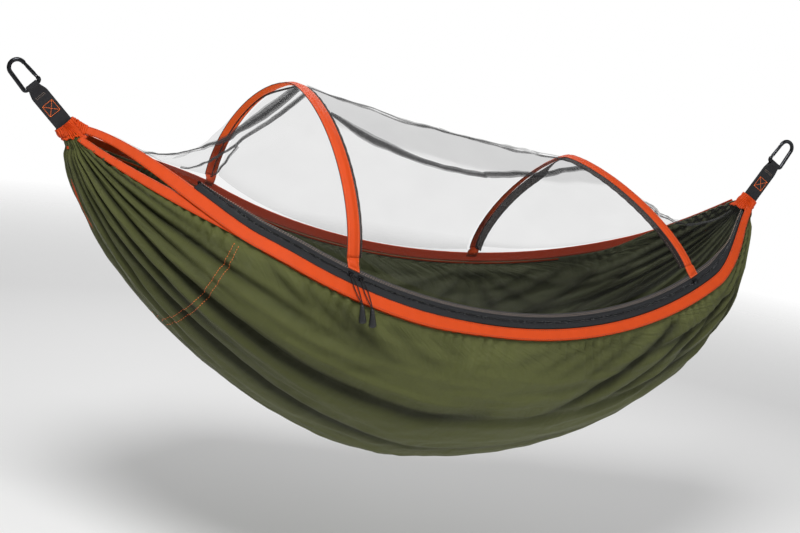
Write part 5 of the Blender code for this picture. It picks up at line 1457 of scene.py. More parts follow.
class HAMMOCK_OT_zip(Operator):
    """Zip tapes, the two rows of the coil, and the mesh tapes beside them"""

    bl_idname = "hammock.zip"
    bl_label = "Zip and Tapes"

    def execute(self, context):
        shares = np.linspace(ZIP_START_SHARE, collar_share(top_hem_at, 1), BAND_STEPS)
        lap = (0.62 - 0.34 * narrower(shares)) * (1 - smooth((shares - 0.86) / 0.06))
        lapped = LOWER_TAPE[0] - TAPE_LAP * lap
        for name, low, high, out, finish, slot, node in (
            ("lower_tape", lapped, LOWER_TAPE[1], TAPE_LAP_RISE * lap, "tape", "black_tape", "zip_lower_tape"),
            ("upper_tape", *UPPER_TAPE, 0.0, "tape", "black_tape", "zip_upper_tape"),
            ("net_tape", NET_TAPE[0], net_tape_top(shares), 0.0, "net_tape", "net_mesh", "near_net_tape"),
        ):
            low, high = gathered_in(shares, low), gathered_in(shares, high)
            points = band_points(top_hem_at, shares, low, high, 6, out, 0.0003, TAPE_RIPPLE, seed=high[0] * 900)
            cloth_piece(name + "_strip", points, finish, [node], slot, thick=TAPE_SKIN)
        low, high = (gathered_in(shares, height) for height in (LOWER_TAPE[1] - 0.001, UPPER_TAPE[0] + 0.001))
        points = band_points(top_hem_at, shares, low, high, 4, -COIL_THICKNESS / 2 - 0.0006)
        cloth_piece("coil_backing", points, "tape", slot="black_tape")
        points = band_points(top_hem_at, shares, HEM_WIDTH / 4, LOWER_TAPE[1] - 0.002, 3, -HEM_THICKNESS * 0.4)
        cloth_piece("tape_tuck", points, "tape", slot="black_tape")
        out = frame_on(top_hem_at, shares)[3]
        heights = [gathered_in(shares, NET_TAPE[0] + height) for height in NET_STITCH_HEIGHTS]
        rows = [(on_band(top_hem_at, shares, height, 0.0016), out) for height in heights]
        stitch_rows("net_tape_stitches", rows, "tan_thread", NET_TAPE_STITCH, slot="net_mesh")
        self.coil(context.scene.hammock_sizes.tooth_pitch, shares[:-1])
        self.far_tape()
        return {"FINISHED"}

    def coil(self, pitch, shares):
        """Two rows of small loops that meet at the coil's middle."""
        for name, (low, high), shift in (("lower_coil", LOWER_COIL, 0.0), ("upper_coil", UPPER_COIL, 0.5)):
            points = on_band(top_hem_at, shares, gathered_in(shares, (low + high) / 2), 0.0)
            frames = frames_along(points, frame_on(top_hem_at, shares)[3], pitch, shift * pitch)
            tooth = grain(pitch * TOOTH_SHARE, high - low + 0.0002, COIL_THICKNESS)
            body_object(name + "_row", repeated(name, tooth, frames), "coil", "hammock", ["zip_" + name], "black_coil")

    def far_tape(self):
        """Mesh tape on the far hem's inner face, narrow at both ends."""
        start, end = FAR_TAPE_SHARES
        shares = np.linspace(start, end, BAND_STEPS)
        wide = smooth((shares - start) / 0.05) * (1 - 0.6 * smooth((shares - 0.80) / 0.10))
        top = HEM_WIDTH / 2
        low = top - FAR_TAPE_WIDTHS[0] - FAR_TAPE_WIDTHS[1] * wide
        points = band_points(rim_at, shares, low, top + 0.0010, 6, -HEM_THICKNESS - CLEARANCE, 0.0, 0.0003, 4.0)
        cloth_piece("far_net_tape_strip", points * MIRRORED, "far_tape", ["far_net_tape"], "net_mesh", thick=TAPE_SKIN)


class HAMMOCK_OT_collars(Operator):
    """Ruched orange collars at both gathers, with the gathering cords inside"""

    bl_idname = "hammock.collars"
    bl_label = "Collars"

    def execute(self, context):
        for side, name in SIDES:
            self.collar(name, side, context.scene.hammock_sizes.ruche_count)
            self.gathering_cord(name, side)
        return {"FINISHED"}

    def collar(self, name, side, ruches):
        """Folded cloth from the webbing's mouth over the gather, longer over its top."""
        turns = np.linspace(0.0, pi, 81)
        wide = np.array([smooth_cloth(cloth_share(side, turn), turn) for turn in turns]) - fan_way(side) * 2 * CLEARANCE
        near, far = wide[0], wide[-1]
        middle = (near + far) / 2
        angles = np.linspace(0.0, pi, 34)[1:-1, None]
        crown_way = unit(middle - wide[len(wide) // 2])
        crown = middle + (far - middle) * np.cos(angles) + crown_way * COLLAR_CROWN * np.sin(angles)
        ring = np.concatenate([wide, crown, wide[:1]])
        first, more = COLLAR_REACH[side]
        reach = np.concatenate([first + 0 * wide[:, 0], first + more * np.sin(angles[:, 0]) ** 0.5, [first]])
        run = run_along(ring)
        even = np.linspace(0.0, run[-1], ruches * 8 + 1)
        ring = follow(even, run, ring)
        reach = np.interp(even, run, reach) + 0.035 * np.sin(even * 310.0 + 2.0 * np.sin(even * 77.0))
        mouth = mouth_ring(ring, side, ring[:-1].mean(axis=0))
        part = np.linspace(0.0, 1.0, 27)[:, None]
        grid = np.stack([gather_loft(side, mouth, ring, along * reach) for along in part[:, 0]])
        away = ways_out(grid)
        waist = grid[len(grid) // 2]
        if (away[len(grid) // 2] * (waist - waist.mean(axis=0))).sum() < 0:
            away = -away
        seed = 5.0 + side
        phase = np.linspace(0.0, 2 * pi * ruches, ruches * 8 + 1)[None, :]
        jitter = 1.1 * noise_over(np.cos(phase / ruches) * 3, np.sin(phase / ruches) * 3, part * 5, seed)
        fold = np.abs(np.sin(phase / 2 + jitter)) ** 0.8
        channel = bell(part - 0.45, 0.16) - 0.9 * bell(part - 0.80, 0.05)
        lift = 0.0062 * fold * (0.5 + 0.5 * part) + 0.0022 * channel - 0.0030
        cross = noise_at(grid, 0.006, seed * 3) * 0.0008
        grid = grid + away * (lift + cross)[..., None]
        grid[:, -1] = grid[:, 0]
        cloth_piece(name + "_collar", grid, nodes=[name + "_end_channel"], thick=0.0012, offset=-1.0, closed=True)

    def gathering_cord(self, name, side):
        out, across = strap_ways(side)
        start = gather_of(side) - out * GATHER_CORD_INSET
        half = STRAP_INNER_WIDTH / 2 + CLEARANCE
        points = []
        for end in (1, -1):
            for step in range(17):
                angle = pi * step / 16
                shift = across * end * (half + GATHER_CORD_TURN * sin(angle))
                points.append(start + shift - out * GATHER_CORD_TURN * (1 - end * cos(angle)))
        mesh = tube_mesh(name + "_cord_ring", points, GATHER_CORD_RADIUS, closed=True)
        body_object(name + "_gather_ring", mesh, "cord", "hammock", [name + "_gathering_cord"], "charcoal_webbing")


class HAMMOCK_OT_straps(Operator):
    """Webbing loops with their crossed box stitching"""

    bl_idname = "hammock.straps"
    bl_label = "Webbing Loops"

    def execute(self, context):
        for side, name in SIDES:
            self.strap(name, side)
            self.box_stitch(name, side)
        return {"FINISHED"}

    def path(self):
        """Middle line of the loop: round the bar, in, round the gathering cord, and out again."""
        tight = (STRAP_THICKNESS + CLEARANCE) / 2
        bar = ROD_RADIUS + CLEARANCE + STRAP_THICKNESS / 2
        cord = GATHER_CORD_RADIUS + CLEARANCE + STRAP_THICKNESS / 2
        open_end = STRAP_LENGTH - STRAP_OPENING_LENGTH
        neck = [
            (STRAP_LENGTH - STRAP_OPENING_LENGTH * t, bar + (tight - bar) * float(smooth(t)))
            for t in np.linspace(0.1, 1.0, 10)
        ]
        straight = np.linspace(open_end, COLLAR_MOUTH_OUT, 12)[1:]
        return np.array([
            *((STRAP_LENGTH + bar * cos(a), bar * sin(a)) for a in np.linspace(pi / 2, -pi / 2, 25)),
            *((x, -y) for x, y in neck),
            *((x, -tight) for x in straight),
            *((-GATHER_CORD_INSET + cord * cos(a), cord * sin(a)) for a in np.linspace(-pi / 2, -1.5 * pi, 15)),
            *((x, tight) for x in straight[::-1]),
            *neck[::-1],
        ])

    def width_at(self, out):
        """Width of the webbing, which is folded narrower at the bar and at the cord."""
        to_bar = smooth((STRAP_LENGTH - out) / STRAP_OPENING_LENGTH)
        to_cord = smooth((out + GATHER_CORD_INSET) / (COLLAR_MOUTH_OUT + GATHER_CORD_INSET))
        at_bar = STRAP_BIGHT_WIDTH + (STRAP_WIDTH - STRAP_BIGHT_WIDTH) * to_bar
        at_cord = STRAP_INNER_WIDTH + (STRAP_WIDTH - STRAP_INNER_WIDTH) * to_cord
        return np.minimum(at_bar, at_cord)

    def strap(self, name, side):
        """The webbing's closed loop, a little thicker along its middle than at its edges."""
        out, across = strap_ways(side)
        path = self.path()
        closed = np.concatenate([path, path[:1]])
        heading = unit(np.roll(path, -1, axis=0) - np.roll(path, 1, axis=0))
        heading = np.concatenate([heading, heading[:1]])
        normal = np.stack([heading[:, 1], -heading[:, 0]], axis=-1)
        width = self.width_at(closed[:, 0])
        parts = 2 * np.arange(13) / 12 - 1
        grid = []
        for part in parts:
            place = closed + normal * (0.00025 * (1 - part**4))
            line = gather_of(side) + out * place[:, :1] + ACROSS * place[:, 1:]
            grid.append(line + across * (width * part / 2)[:, None])
        uv = np.stack(np.broadcast_arrays(run_along(closed)[:, None], width[:, None] * parts / 2), axis=-1)
        cloth_piece(
            name + "_strap", np.stack(grid, axis=1), "webbing", [name + "_webbing_loop"], "charcoal_webbing",
            thick=STRAP_THICKNESS * 0.9, uv=uv, closed=True,
        )

    def box_stitch(self, name, side):
        """A sewn square with its diagonals, and a short double row by the carabiner."""
        out, across = strap_ways(side)
        lift = STRAP_THICKNESS + CLEARANCE + 0.0004
        low, high, half = STITCHED_BOX
        corners = {"a": (low, -half), "b": (low, half), "c": (high, half), "d": (high, -half)}
        corner = {key: gather_of(side) + out * x + across * y for key, (x, y) in corners.items()}
        rows = []
        for way in (-ACROSS, ACROSS):
            for start, end in ("ab", "bc", "cd", "da", "ac", "bd"):
                line = np.linspace(corner[start], corner[end], 12) + way * lift
                rows.append((line, np.broadcast_to(way, line.shape)))
        stitch_rows(name + "_box_stitches", rows, "orange_thread", BOX_STITCH)
        rows = []
        for shift in (0.001, -0.003):
            across_it = np.linspace(-half, half, 10)[:, None] * across
            line = across_it + gather_of(side) + out * (STRAP_LENGTH - STRAP_OPENING_LENGTH + shift)
            rows += both_faces(line, np.broadcast_to(ACROSS, line.shape), lift)
        stitch_rows(name + "_bar_stitches", rows, "tan_thread", BAR_STITCH)


class HAMMOCK_OT_carabiners(Operator):
    """Black alloy rings, with their gates, pins and springs"""

    bl_idname = "hammock.carabiners"
    bl_label = "Carabiners"

    def execute(self, context):
        for side, name in SIDES:
            self.ring(name, side)
            for part in ("gate_pin", "gate_plunger", "gate_spring"):
                dress(f"{name}_{part}", "steel")
            rounded_copy(f"{name}_carabiner_gate", f"{name}_gate_shell", f"{name}_gate")
        return {"FINISHED"}

    def side_x(self, up):
        """Distance of the ring's long side from its middle, at a height."""
        top = RING_LENGTH - RING_CROWN_RADIUS
        share = (up - RING_CORNER) / (top - RING_CORNER)
        return RING_HALF_WIDTH + (RING_CROWN_RADIUS - RING_HALF_WIDTH) * share

    def path(self):
        """Middle line of the frame as (across, up), from the gate's nose round to its pin."""
        crown = RING_LENGTH - RING_CROWN_RADIUS
        inner = RING_HALF_WIDTH - RING_CORNER
        nose, pin = GATE_NOSE_UP + 0.003, GATE_PIN_UP - GATE_RADIUS - 0.0008
        return [
            (self.side_x(nose), nose),
            *((RING_CROWN_RADIUS * cos(a), crown + RING_CROWN_RADIUS * sin(a)) for a in np.linspace(0, pi, 33)),
            *((-inner + RING_CORNER * cos(a), RING_CORNER * (1 + sin(a))) for a in np.linspace(pi, 1.5 * pi, 13)),
            *((inner + RING_CORNER * cos(a), RING_CORNER * (1 + sin(a))) for a in np.linspace(-pi / 2, 0, 13)),
            (self.side_x(pin), pin),
        ]

    def ring(self, name, side):
        """The frame, with a rounded lug at the gate's pin and one at its nose."""
        out, across = strap_ways(side)
        bar = gather_of(side) + out * STRAP_LENGTH
        points = [bar + across * x + out * up for x, up in self.path()]
        bm = bmesh.new()
        bm.from_mesh(tube_mesh(name + "_ring", points, ROD_RADIUS, resolution=6))
        pin, nose = (np.array([self.side_x(up), up]) for up in (GATE_PIN_UP, GATE_NOSE_UP))
        way = unit(nose - pin)
        length = np.linalg.norm(nose - pin)
        lug_way, lug_side = across * way[0] + out * way[1], across * way[1] - out * way[0]
        for low, high in (PIN_LUG, (length + NOSE_LUG[0], length + NOSE_LUG[1])):
            x, up = pin + way * (low + high) / 2
            made = bmesh.ops.create_cube(bm, size=1.0)["verts"]
            bmesh.ops.scale(bm, vec=(*LUG_SECTION, high - low), verts=made)
            edges = list({edge for vert in made for edge in vert.link_edges})
            rounded = bmesh.ops.bevel(bm, geom=edges, offset=LUG_BEVEL, **BEVEL)
            made = list({vert for face in rounded["faces"] for vert in face.verts})
            matrix = placing(bar + across * x + out * up, lug_side, ACROSS, lug_way)
            bmesh.ops.transform(bm, matrix=matrix, verts=made)
        mesh = mesh_of(bm, name + "_ring", SHARP_ANGLE)
        body_object(name + "_ring", mesh, "alloy", name + "_carabiner", [name + "_carabiner_frame"], "black_alloy")


def dress(node, finish):
    """Gives a CAD node its finish, its shape being right as it is."""
    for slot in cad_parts[node].material_slots:
        slot.link = "OBJECT"
        slot.material = finish_of(finish)


def rounded_copy(node, name, body):
    """A merged copy of an alloy CAD node with its sharp edges rounded."""
    bm = bmesh.new()
    bm.from_mesh(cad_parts[node].data)
    bmesh.ops.remove_doubles(bm, verts=bm.verts, dist=MERGE_DISTANCE / 4)
    bmesh.ops.dissolve_limit(bm, angle_limit=radians(2), verts=bm.verts, edges=bm.edges)
    sharp = [edge for edge in bm.edges if len(edge.link_faces) == 2 and edge.calc_face_angle(0) > radians(40)]
    bmesh.ops.bevel(bm, geom=sharp, offset=0.0004, clamp_overlap=True, **BEVEL)
    body_object(name, mesh_of(bm, name, SHARP_ANGLE), "alloy", body, [node], "black_alloy")


class HAMMOCK_OT_hoops(Operator):
    """Hoop sleeves with piping and stitches, the net's binding, and the pockets at their feet"""

    bl_idname = "hammock.hoops"
    bl_label = "Hoops"

    def execute(self, context):
        for hoop, roof_side in ((HOOP_1, 1), (HOOP_2, -1)):
            self.sleeve(hoop, context.scene.hammock_sizes)
            self.binding(hoop, roof_side)
            dress(hoop.name + "_rod", "steel")
            for end in ("near", "far"):
                dress(f"{hoop.name}_{end}_tip", "rubber")
                self.pocket(hoop, end)
                self.tab(hoop, end)
        return {"FINISHED"}

    def tab(self, hoop, end):
        """Flat sewn end of a sleeve, over the rod's tip and on down the tape."""
        foot, leg = hoop.foot(end)
        if end == "near":
            _, along, _, face = frame_on(top_hem_at, hoop.near_share)
            base = 0.0034
        else:
            _, along, _, face = (way * MIRRORED for way in frame_on(rim_at, hoop.far_share))
            face, base = -face, 0.0066
        down = -unit(leg - face * (leg @ face))
        along = along * np.sign(along @ hoop.square)
        deep = np.cross(leg, hoop.square)
        deep = deep * np.sign(deep @ face)
        x = np.linspace(-1.0, 1.0, 17)[:, None] * SLEEVE_EDGE
        sleeve = SLEEVE_SKIN + SLEEVE_BULGE * bell(x, SLEEVE_BULGE_WIDTH)
        grid, outs = [], []
        for part in np.linspace(0.0, 1.0, 19):
            run = -TAB_RISE + TAB_LENGTH * part
            turn = float(smooth((run + TAB_RISE) / 0.012))
            flat = float(smooth((run - 0.008) / 0.010))
            centre = foot + (leg * -run if run < 0 else down * run)
            side = unit(hoop.square * (1 - turn) + along * turn)
            out = unit(deep * (1 - turn) + face * turn)
            over = base + (1 - flat) * 0.0052 * bell(x, 0.0135, 4)
            grid.append(centre + side * x * (1 - 0.05 * part) + out * (sleeve * (1 - turn) + over * turn))
            outs.append(np.broadcast_to(out, grid[-1].shape))
        points, outs = np.stack(grid, axis=1), np.stack(outs, axis=1)
        name = f"{hoop.name}_{end}_tab"
        ends = {"start": tuple(foot + down * 0.004 + ORIGIN), "end": tuple(foot + leg * 0.0125 + ORIGIN)}
        obj = cloth_piece(name, points, body=None, thick=TAB_SKIN)
        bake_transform(obj)
        rows = [
            (points[edge] + outs[edge] * 0.0009, outs[edge]) for edge in ((slice(1, -1), -2), (1,), (-2,))
        ]
        stitches = stitch_rows(name + "_stitches", rows, "pale_thread", TAB_STITCH, None)
        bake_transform(stitches)

    def sleeve(self, hoop, sizes):
        """Cloth tube round the rod, flat beside it, with piping on both edges and two stitch lines."""
        name = hoop.name
        line = hoop.line(SLEEVE_STEPS)
        deep = np.cross(headings(line), hoop.square)
        run = run_along(line)
        sides = 28
        grid = []
        for column in range(sides + 1):
            angle = 2 * pi * column / sides
            aside = SLEEVE_EDGE * cos(angle)
            bulge = bell(aside, SLEEVE_BULGE_WIDTH)
            lift = (SLEEVE_SKIN + SLEEVE_BULGE * bulge) * np.sign(round(sin(angle), 6))
            short = 0.0003 * np.sin(run * 2 * pi / 0.021 + column) * (1 - bulge)
            pucker = short + 0.0002 * np.sin(run * 2 * pi / 0.047)
            grid.append(line + hoop.square * aside + deep * (lift + pucker * np.sign(lift))[:, None])
        grid[-1] = grid[0]
        # Painted glow: the face toward the hoop's middle glows, fading out near both ends of the sleeve
        toward = np.sign((((hoop.near + hoop.far) / 2 - line) * deep).sum(-1))
        faces = np.sign(np.sin(2 * pi * np.arange(sides + 1) / sides + 0.001))
        lit = smooth((np.minimum(run, run[-1] - run) - 0.09) / 0.07) * SLEEVE_PAINTED_GLOW[name]
        painted_glow_share = np.maximum(toward[:, None] * faces[None, :], 0.0) * lit[:, None]
        cloth_piece(
            name + "_sleeve_cloth", np.stack(grid, axis=1), "sleeve", [name + "_sleeve"], body=name,
            thick=0.0008, offset=-1.0, closed=True, marks={"painted_glow_share": painted_glow_share},
        )
        rows = []
        for edge in (-1, 1):
            rows += both_faces(line + hoop.square * edge * (SLEEVE_EDGE - 0.0042), deep, 0.0021)
        stitch = (sizes.stitch_length, sizes.stitch_gap, SLEEVE_STITCH_WIDTH)
        stitch_rows(name + "_stitches", rows, "pale_thread", stitch, name)
        for side, label in SIDES:
            points = line + hoop.square * side * (SLEEVE_EDGE + 0.0004)
            mesh = tube_mesh(f"{name}_{label}_piping", points, PIPING_RADIUS, resolution=2)
            body_object(f"{name}_{label}_piping", mesh, "piping", name, slot="black_tape")

    def binding(self, hoop, roof_side):
        """Dark strip that holds the net: beside the sleeve, and turned inward toward the far foot, where it is also a
        dark strip put in for the shade along the sleeve's inner side.
        """
        line = hoop.line(SLEEVE_STEPS)
        along = headings(line)
        run = run_along(line)
        width = BINDING_SHOWN[hoop.name]
        # Painted shade: toward the far foot the strip turns inward and darkens the sleeve's inner side
        far = smooth((run / run[-1] - 0.45) / 0.25)[:, None]
        inward = -np.cross(along, hoop.square)
        inward = inward * np.sign((inward * ((hoop.near + hoop.far) / 2 - line)).sum(-1, keepdims=True))
        way = unit(hoop.square * roof_side * (1 - far) + inward * far)
        out = np.cross(along, way)
        begin = (SLEEVE_WIDTH / 2 + 2 * CLEARANCE) * (1 - far) + BINDING_FAR_GAP * far
        grid = []
        for column in range(5):
            wave = 0.0006 * np.sin(run * 2 * pi / 0.033 + column) * (column / 4)
            grid.append(line + way * (begin + width * column / 4) + out * wave[:, None])
        cloth_piece(
            hoop.name + "_binding", np.stack(grid, axis=1), "binding", [hoop.name + "_net_binding"], "net_mesh",
            hoop.name, thick=BINDING_SKIN,
        )
        rows = both_faces(line + way * (begin + width * 0.72), out, 0.0010)
        stitch_rows(hoop.name + "_binding_stitches", rows, "tan_thread", BINDING_STITCH, hoop.name, "net_mesh")

    def pocket(self, hoop, end):
        """A cup for the rod's tip, with a rolled edge."""
        foot, up = hoop.foot(end)
        inner, outer, deep = POCKET_INNER, POCKET_OUTER, POCKET_DEPTH
        profile = [
            (0.0, -deep), (outer * 0.72, -deep), (outer * 0.94, -deep * 0.86), (outer, -deep * 0.55),
            (outer * 0.97, -deep * 0.3), (outer, -deep * 0.12), (outer * 0.97, 0.0), (inner * 1.04, 0.0),
            (inner, -deep * 0.1), (inner, -deep * 0.6), (inner * 0.7, -deep + 0.0020), (0.0, -deep + 0.0020),
        ]
        name = f"{hoop.name}_{end}_cup"
        mesh = spun(name, profile, 24, foot, up, hoop.square)
        body_object(name, mesh, "tape", "hammock", [f"{hoop.name}_{end}_pocket"], "black_tape")


def stretched_over(left, right, near, far, hold, droop=1.0):
    """Grid over four boundary lines, which bends only near the rims where hold is high."""
    u = np.linspace(0.0, 1.0, len(near))[:, None, None]
    v = np.linspace(0.0, 1.0, len(left))[None, :, None]
    fall = np.broadcast_to(u**droop, (len(near), len(left), 1))
    even = np.broadcast_to(u, fall.shape)
    level = left[None, :] + (right - left)[None, :] * np.concatenate([even, even, fall], axis=-1)
    near_bend = near[:, None] - level[:, :1]
    far_bend = far[:, None] - level[:, -1:]
    return level + (1 - v) ** hold * near_bend + v**hold * far_bend


def near_net_edge(share):
    """Where the net meets the hem left of the zip, and the net tape along it."""
    share = np.asarray(share, float)
    above = smooth((share - 0.10) / 0.05)
    height = HEM_WIDTH / 2 * (1 - above) + (gathered_in(share, net_tape_top(share)) + CLEARANCE * 4) * above
    return on_band(top_hem_at, share, height, 0.0)


def far_net_edge(share):
    return on_band(rim_at, share, HEM_WIDTH / 2 + NET_EDGE_GAP, 0.0) * MIRRORED


def beside(hoop, side, reach):
    """Edge of a net panel along a hoop."""
    return hoop.line(NET_COLUMNS) + hoop.square * side * reach


def edge_to(edge, start, end, first, last):
    """A net edge along the rim that meets given corners at its two ends."""
    u = np.linspace(0.0, 1.0, NET_ROWS + 1)
    line = edge(start + (end - start) * u)
    u = u[:, None]
    return line + (first - line[0]) * (1 - u) ** 6 + (last - line[-1]) * u**6


def sagged(grid, sag):
    """A grid let down by a sag at its middle."""
    u, v = shares_over(grid)
    return grid - UPWARD * (sag * 16 * u * (1 - u) * v * (1 - v))[..., None]


def end_share(edge, side, close):
    """Share of an edge where it is as near as close to its gather."""
    gather = gather_of(side)
    return halved(0.0 if side < 0 else 1.0, 0.5, lambda share: np.linalg.norm(edge(share) - gather) > close)


def roof_grid():
    """The net between the two hoops."""
    reach = [SLEEVE_WIDTH / 2 + width + 4 * CLEARANCE for width in (BINDING_SHOWN["hoop_1"], BINDING_WIDTH)]
    left, right = beside(HOOP_1, 1, reach[0]), beside(HOOP_2, -1, reach[1])
    step, back = (distance / RIM_LENGTH for distance in reach)
    near = edge_to(near_net_edge, HOOP_1.near_share + step, HOOP_2.near_share - back, left[0], right[0])
    far = edge_to(far_net_edge, HOOP_1.far_share + step, HOOP_2.far_share - back, left[-1], right[-1])
    return sagged(stretched_over(left, right, near, far, NET_ROOF_HOLD), NET_ROOF_SAG)


def end_grid(side):
    """The net from a hoop to the gather on its side."""
    run = (SLEEVE_WIDTH / 2 + BINDING_WIDTH + 4 * CLEARANCE) / RIM_LENGTH
    down = np.linspace(0.0, 1.0, NET_COLUMNS + 1)
    if side < 0:
        hoop, close, hold, sag = HOOP_1, LEFT_NET_CLOSE, LEFT_NET_HOLD, LEFT_NET_SAG
        far_close = close * 1.9
        droop = LEFT_NET_DROOP + 1.6 * smooth((down[None, :, None] - 0.5) / 0.3)
    else:
        hoop, close, hold, sag = HOOP_2, RIGHT_NET_CLOSE, RIGHT_NET_HOLD, RIGHT_NET_SAG
        far_close, droop = close, RIGHT_NET_DROOP
    hoop_line = beside(hoop, side, SLEEVE_WIDTH / 2 + 2 * CLEARANCE)
    near_end, far_end = end_share(near_net_edge, side, close), end_share(far_net_edge, side, far_close)
    near_corner, far_corner = near_net_edge(near_end), far_net_edge(far_end)
    near = edge_to(near_net_edge, near_end, hoop.near_share + side * run, near_corner, hoop_line[0])
    far = edge_to(far_net_edge, far_end, hoop.far_share + side * run, far_corner, hoop_line[-1])
    closing = near_corner + (far_corner - near_corner) * down[:, None]
    return sagged(stretched_over(closing, hoop_line, near, far, hold, droop), sag)


# Folds where the net lies doubled: knots of (along, across) shares of the panel and a width in metres
ROOF_FOLDS = (
    (
        (0.0, 0.37, 0.022), (0.03, 0.35, 0.036), (0.08, 0.32, 0.044), (0.19, 0.31, 0.036), (0.26, 0.30, 0.022),
        (0.31, 0.29, 0.020), (0.47, 0.30, 0.020), (0.61, 0.32, 0.020), (0.77, 0.35, 0.018), (1.0, 0.42, 0.020),
    ),
    ((0.0, 0.49, 0.040), (0.3, 0.492, 0.044), (0.6, 0.488, 0.044), (1.0, 0.49, 0.040)),
)
LEFT_FOLDS = (
    (
        (0.10, 0.34, 0.018), (0.20, 0.44, 0.024), (0.39, 0.52, 0.032), (0.55, 0.53, 0.036), (0.65, 0.49, 0.040),
        (0.75, 0.48, 0.044), (0.86, 0.48, 0.052), (0.97, 0.47, 0.038), (1.0, 0.47, 0.034),
    ),
    (
        (0.30, 0.16, 0.008), (0.41, 0.30, 0.012), (0.50, 0.37, 0.014), (0.58, 0.41, 0.016), (0.74, 0.42, 0.016),
        (0.86, 0.43, 0.016), (1.0, 0.43, 0.016),
    ),
    ((0.42, 0.16, 0.006), (0.50, 0.28, 0.008), (0.58, 0.36, 0.009), (0.66, 0.41, 0.008)),
)
RIGHT_FOLDS = (
    ((0.05, 0.30, 0.010), (0.25, 0.34, 0.014), (0.42, 0.32, 0.014), (0.58, 0.32, 0.014), (1.0, 0.22, 0.014)),
)
ROOF_DOUBLED = (0.31, 0.49)


class HAMMOCK_OT_net(Operator):
    """Insect net: the roof between the hoops and a panel at each end, with its doubled folds"""

    bl_idname = "hammock.net"
    bl_label = "Insect Net"

    def execute(self, context):
        roof = self.slack(roof_grid(), 2.0)
        half = NET_ROWS // 2
        middle = roof[half, NET_COLUMNS // 2] + ORIGIN
        halves = (("left", roof[: half + 1], HOOP_1, 0.0), ("right", roof[half:], HOOP_2, 0.5))
        for name, grid, hoop, _ in halves:
            self.panel("roof_net_" + name, grid, hoop, middle, "roof_net")
        for (side, name), hoop, folds in zip(SIDES, (HOOP_1, HOOP_2), (LEFT_FOLDS, RIGHT_FOLDS)):
            grid = self.slack(end_grid(side), 7.0 + side)
            start = (grid[0, 0] + grid[0, -1]) / 2 + ORIGIN
            self.panel(name + "_net_panel", grid, hoop, start, name + "_net")
            self.folds(name + "_net_folds", grid, folds, hoop, start)
        for name, grid, hoop, low in halves:
            self.folds("roof_folds_" + name, grid, self.part(low, low + 0.5), hoop, middle)
        return {"FINISHED"}

    def part(self, low, high):
        """The stretch of the roof's folds between two shares of its length."""
        found = []
        for knots in ROOF_FOLDS:
            knots = np.array(knots)
            u = np.linspace(low, high, 17)
            v, width = (np.interp(u, knots[:, 0], knots[:, column]) for column in (1, 2))
            found.append(np.stack([(u - low) / (high - low), v, width], axis=1))
        return found

    def slack(self, grid, seed):
        """Small slack waves inside a panel, none at its edges."""
        u, v = shares_over(grid)
        wave = noise_over(u * 7.0, v * 4.0, 0.0, seed) * 0.007 + noise_over(u * 18.0, v * 12.0, 0.0, seed + 9) * 0.003
        edge = smooth(8 * u) * smooth(8 * (1 - u)) * smooth(8 * v) * smooth(8 * (1 - v))
        return grid + ways_out(grid) * (wave * edge)[..., None]

    def panel(self, name, grid, hoop, start, node):
        """A sheet of net laid on its grid, with its thread mark, and baked into the scene's frame."""
        mark = self.thread_mark(name, grid)
        obj = cloth_piece(name, grid, "net", [node], "net_mesh", None, marks={"doubled": mark})
        tuple(hoop.at(0.5) + ORIGIN)
        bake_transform(obj)
        uv = metre_map(grid)
        wide, long = float(uv[:, -1, 1].max()), float(uv[-1, :, 0].max())
        cells = np.cross(grid[1:, :-1] - grid[:-1, :-1], grid[:-1, 1:] - grid[:-1, :-1])
        area = float(np.linalg.norm(cells, axis=-1).sum())
        area = min(max(area, 0.31 * wide * long), wide * long)

    def thread_mark(self, name, grid):
        """More thread near the sewn edges, and where the roof's slack lies double."""
        v = shares_over(grid)[1] + np.zeros((grid.shape[0], 1))
        mark = 0.10 * bell(np.minimum(v, 1 - v), 0.02)
        if name.startswith("roof"):
            low, high = ROOF_DOUBLED
            mark = mark + 0.24 * smooth((v - low) / 0.02) * smooth((high - v) / 0.02)
        return mark

    def folds(self, name, grid, folds, hoop, start):
        """Several thin layers along each fold, each with its own sway."""
        rng = np.random.default_rng(len(name) * 7)
        away = ways_out(grid)
        joined = bmesh.new()
        for knots in folds:
            knots = np.array(knots)
            u = np.linspace(knots[0, 0], knots[-1, 0], 61)
            v, width = (softened(np.interp(u, knots[:, 0], knots[:, column]), 6) for column in (1, 2))
            line, out = between(grid, u, v), unit(between(away, u, v))
            side = np.cross(out, headings(line))
            run = run_along(line)
            taper = 0.35 + 0.65 * np.minimum(1.0, run / 0.06 + (0.7 if knots[0, 0] == 0 else 0.0))
            for layer in range(5):
                sway = width * (0.10 * np.sin(run * rng.uniform(5, 11) + rng.uniform(0, 6.3)) + rng.normal(0, 0.10))
                half = width * rng.uniform(0.28, 0.55) * taper
                lift = 0.0012 * (layer - 2) + 0.002 * np.sin(run * rng.uniform(9, 20) + layer)
                strip = []
                for edge in (-1, 0, 1):
                    offset = side * (sway + half * edge)[:, None] + out * (lift + 0.0015 * (1 - abs(edge)))[:, None]
                    strip.append(line + offset)
                mesh = laid_grid("layer", np.stack(strip, axis=1))
                joined.from_mesh(mesh)
                bpy.data.meshes.remove(mesh)
        obj = body_object(name, mesh_of(joined, name), "net_fold", None, slot="net_mesh")
        tuple(hoop.at(0.5) + ORIGIN)
        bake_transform(obj)


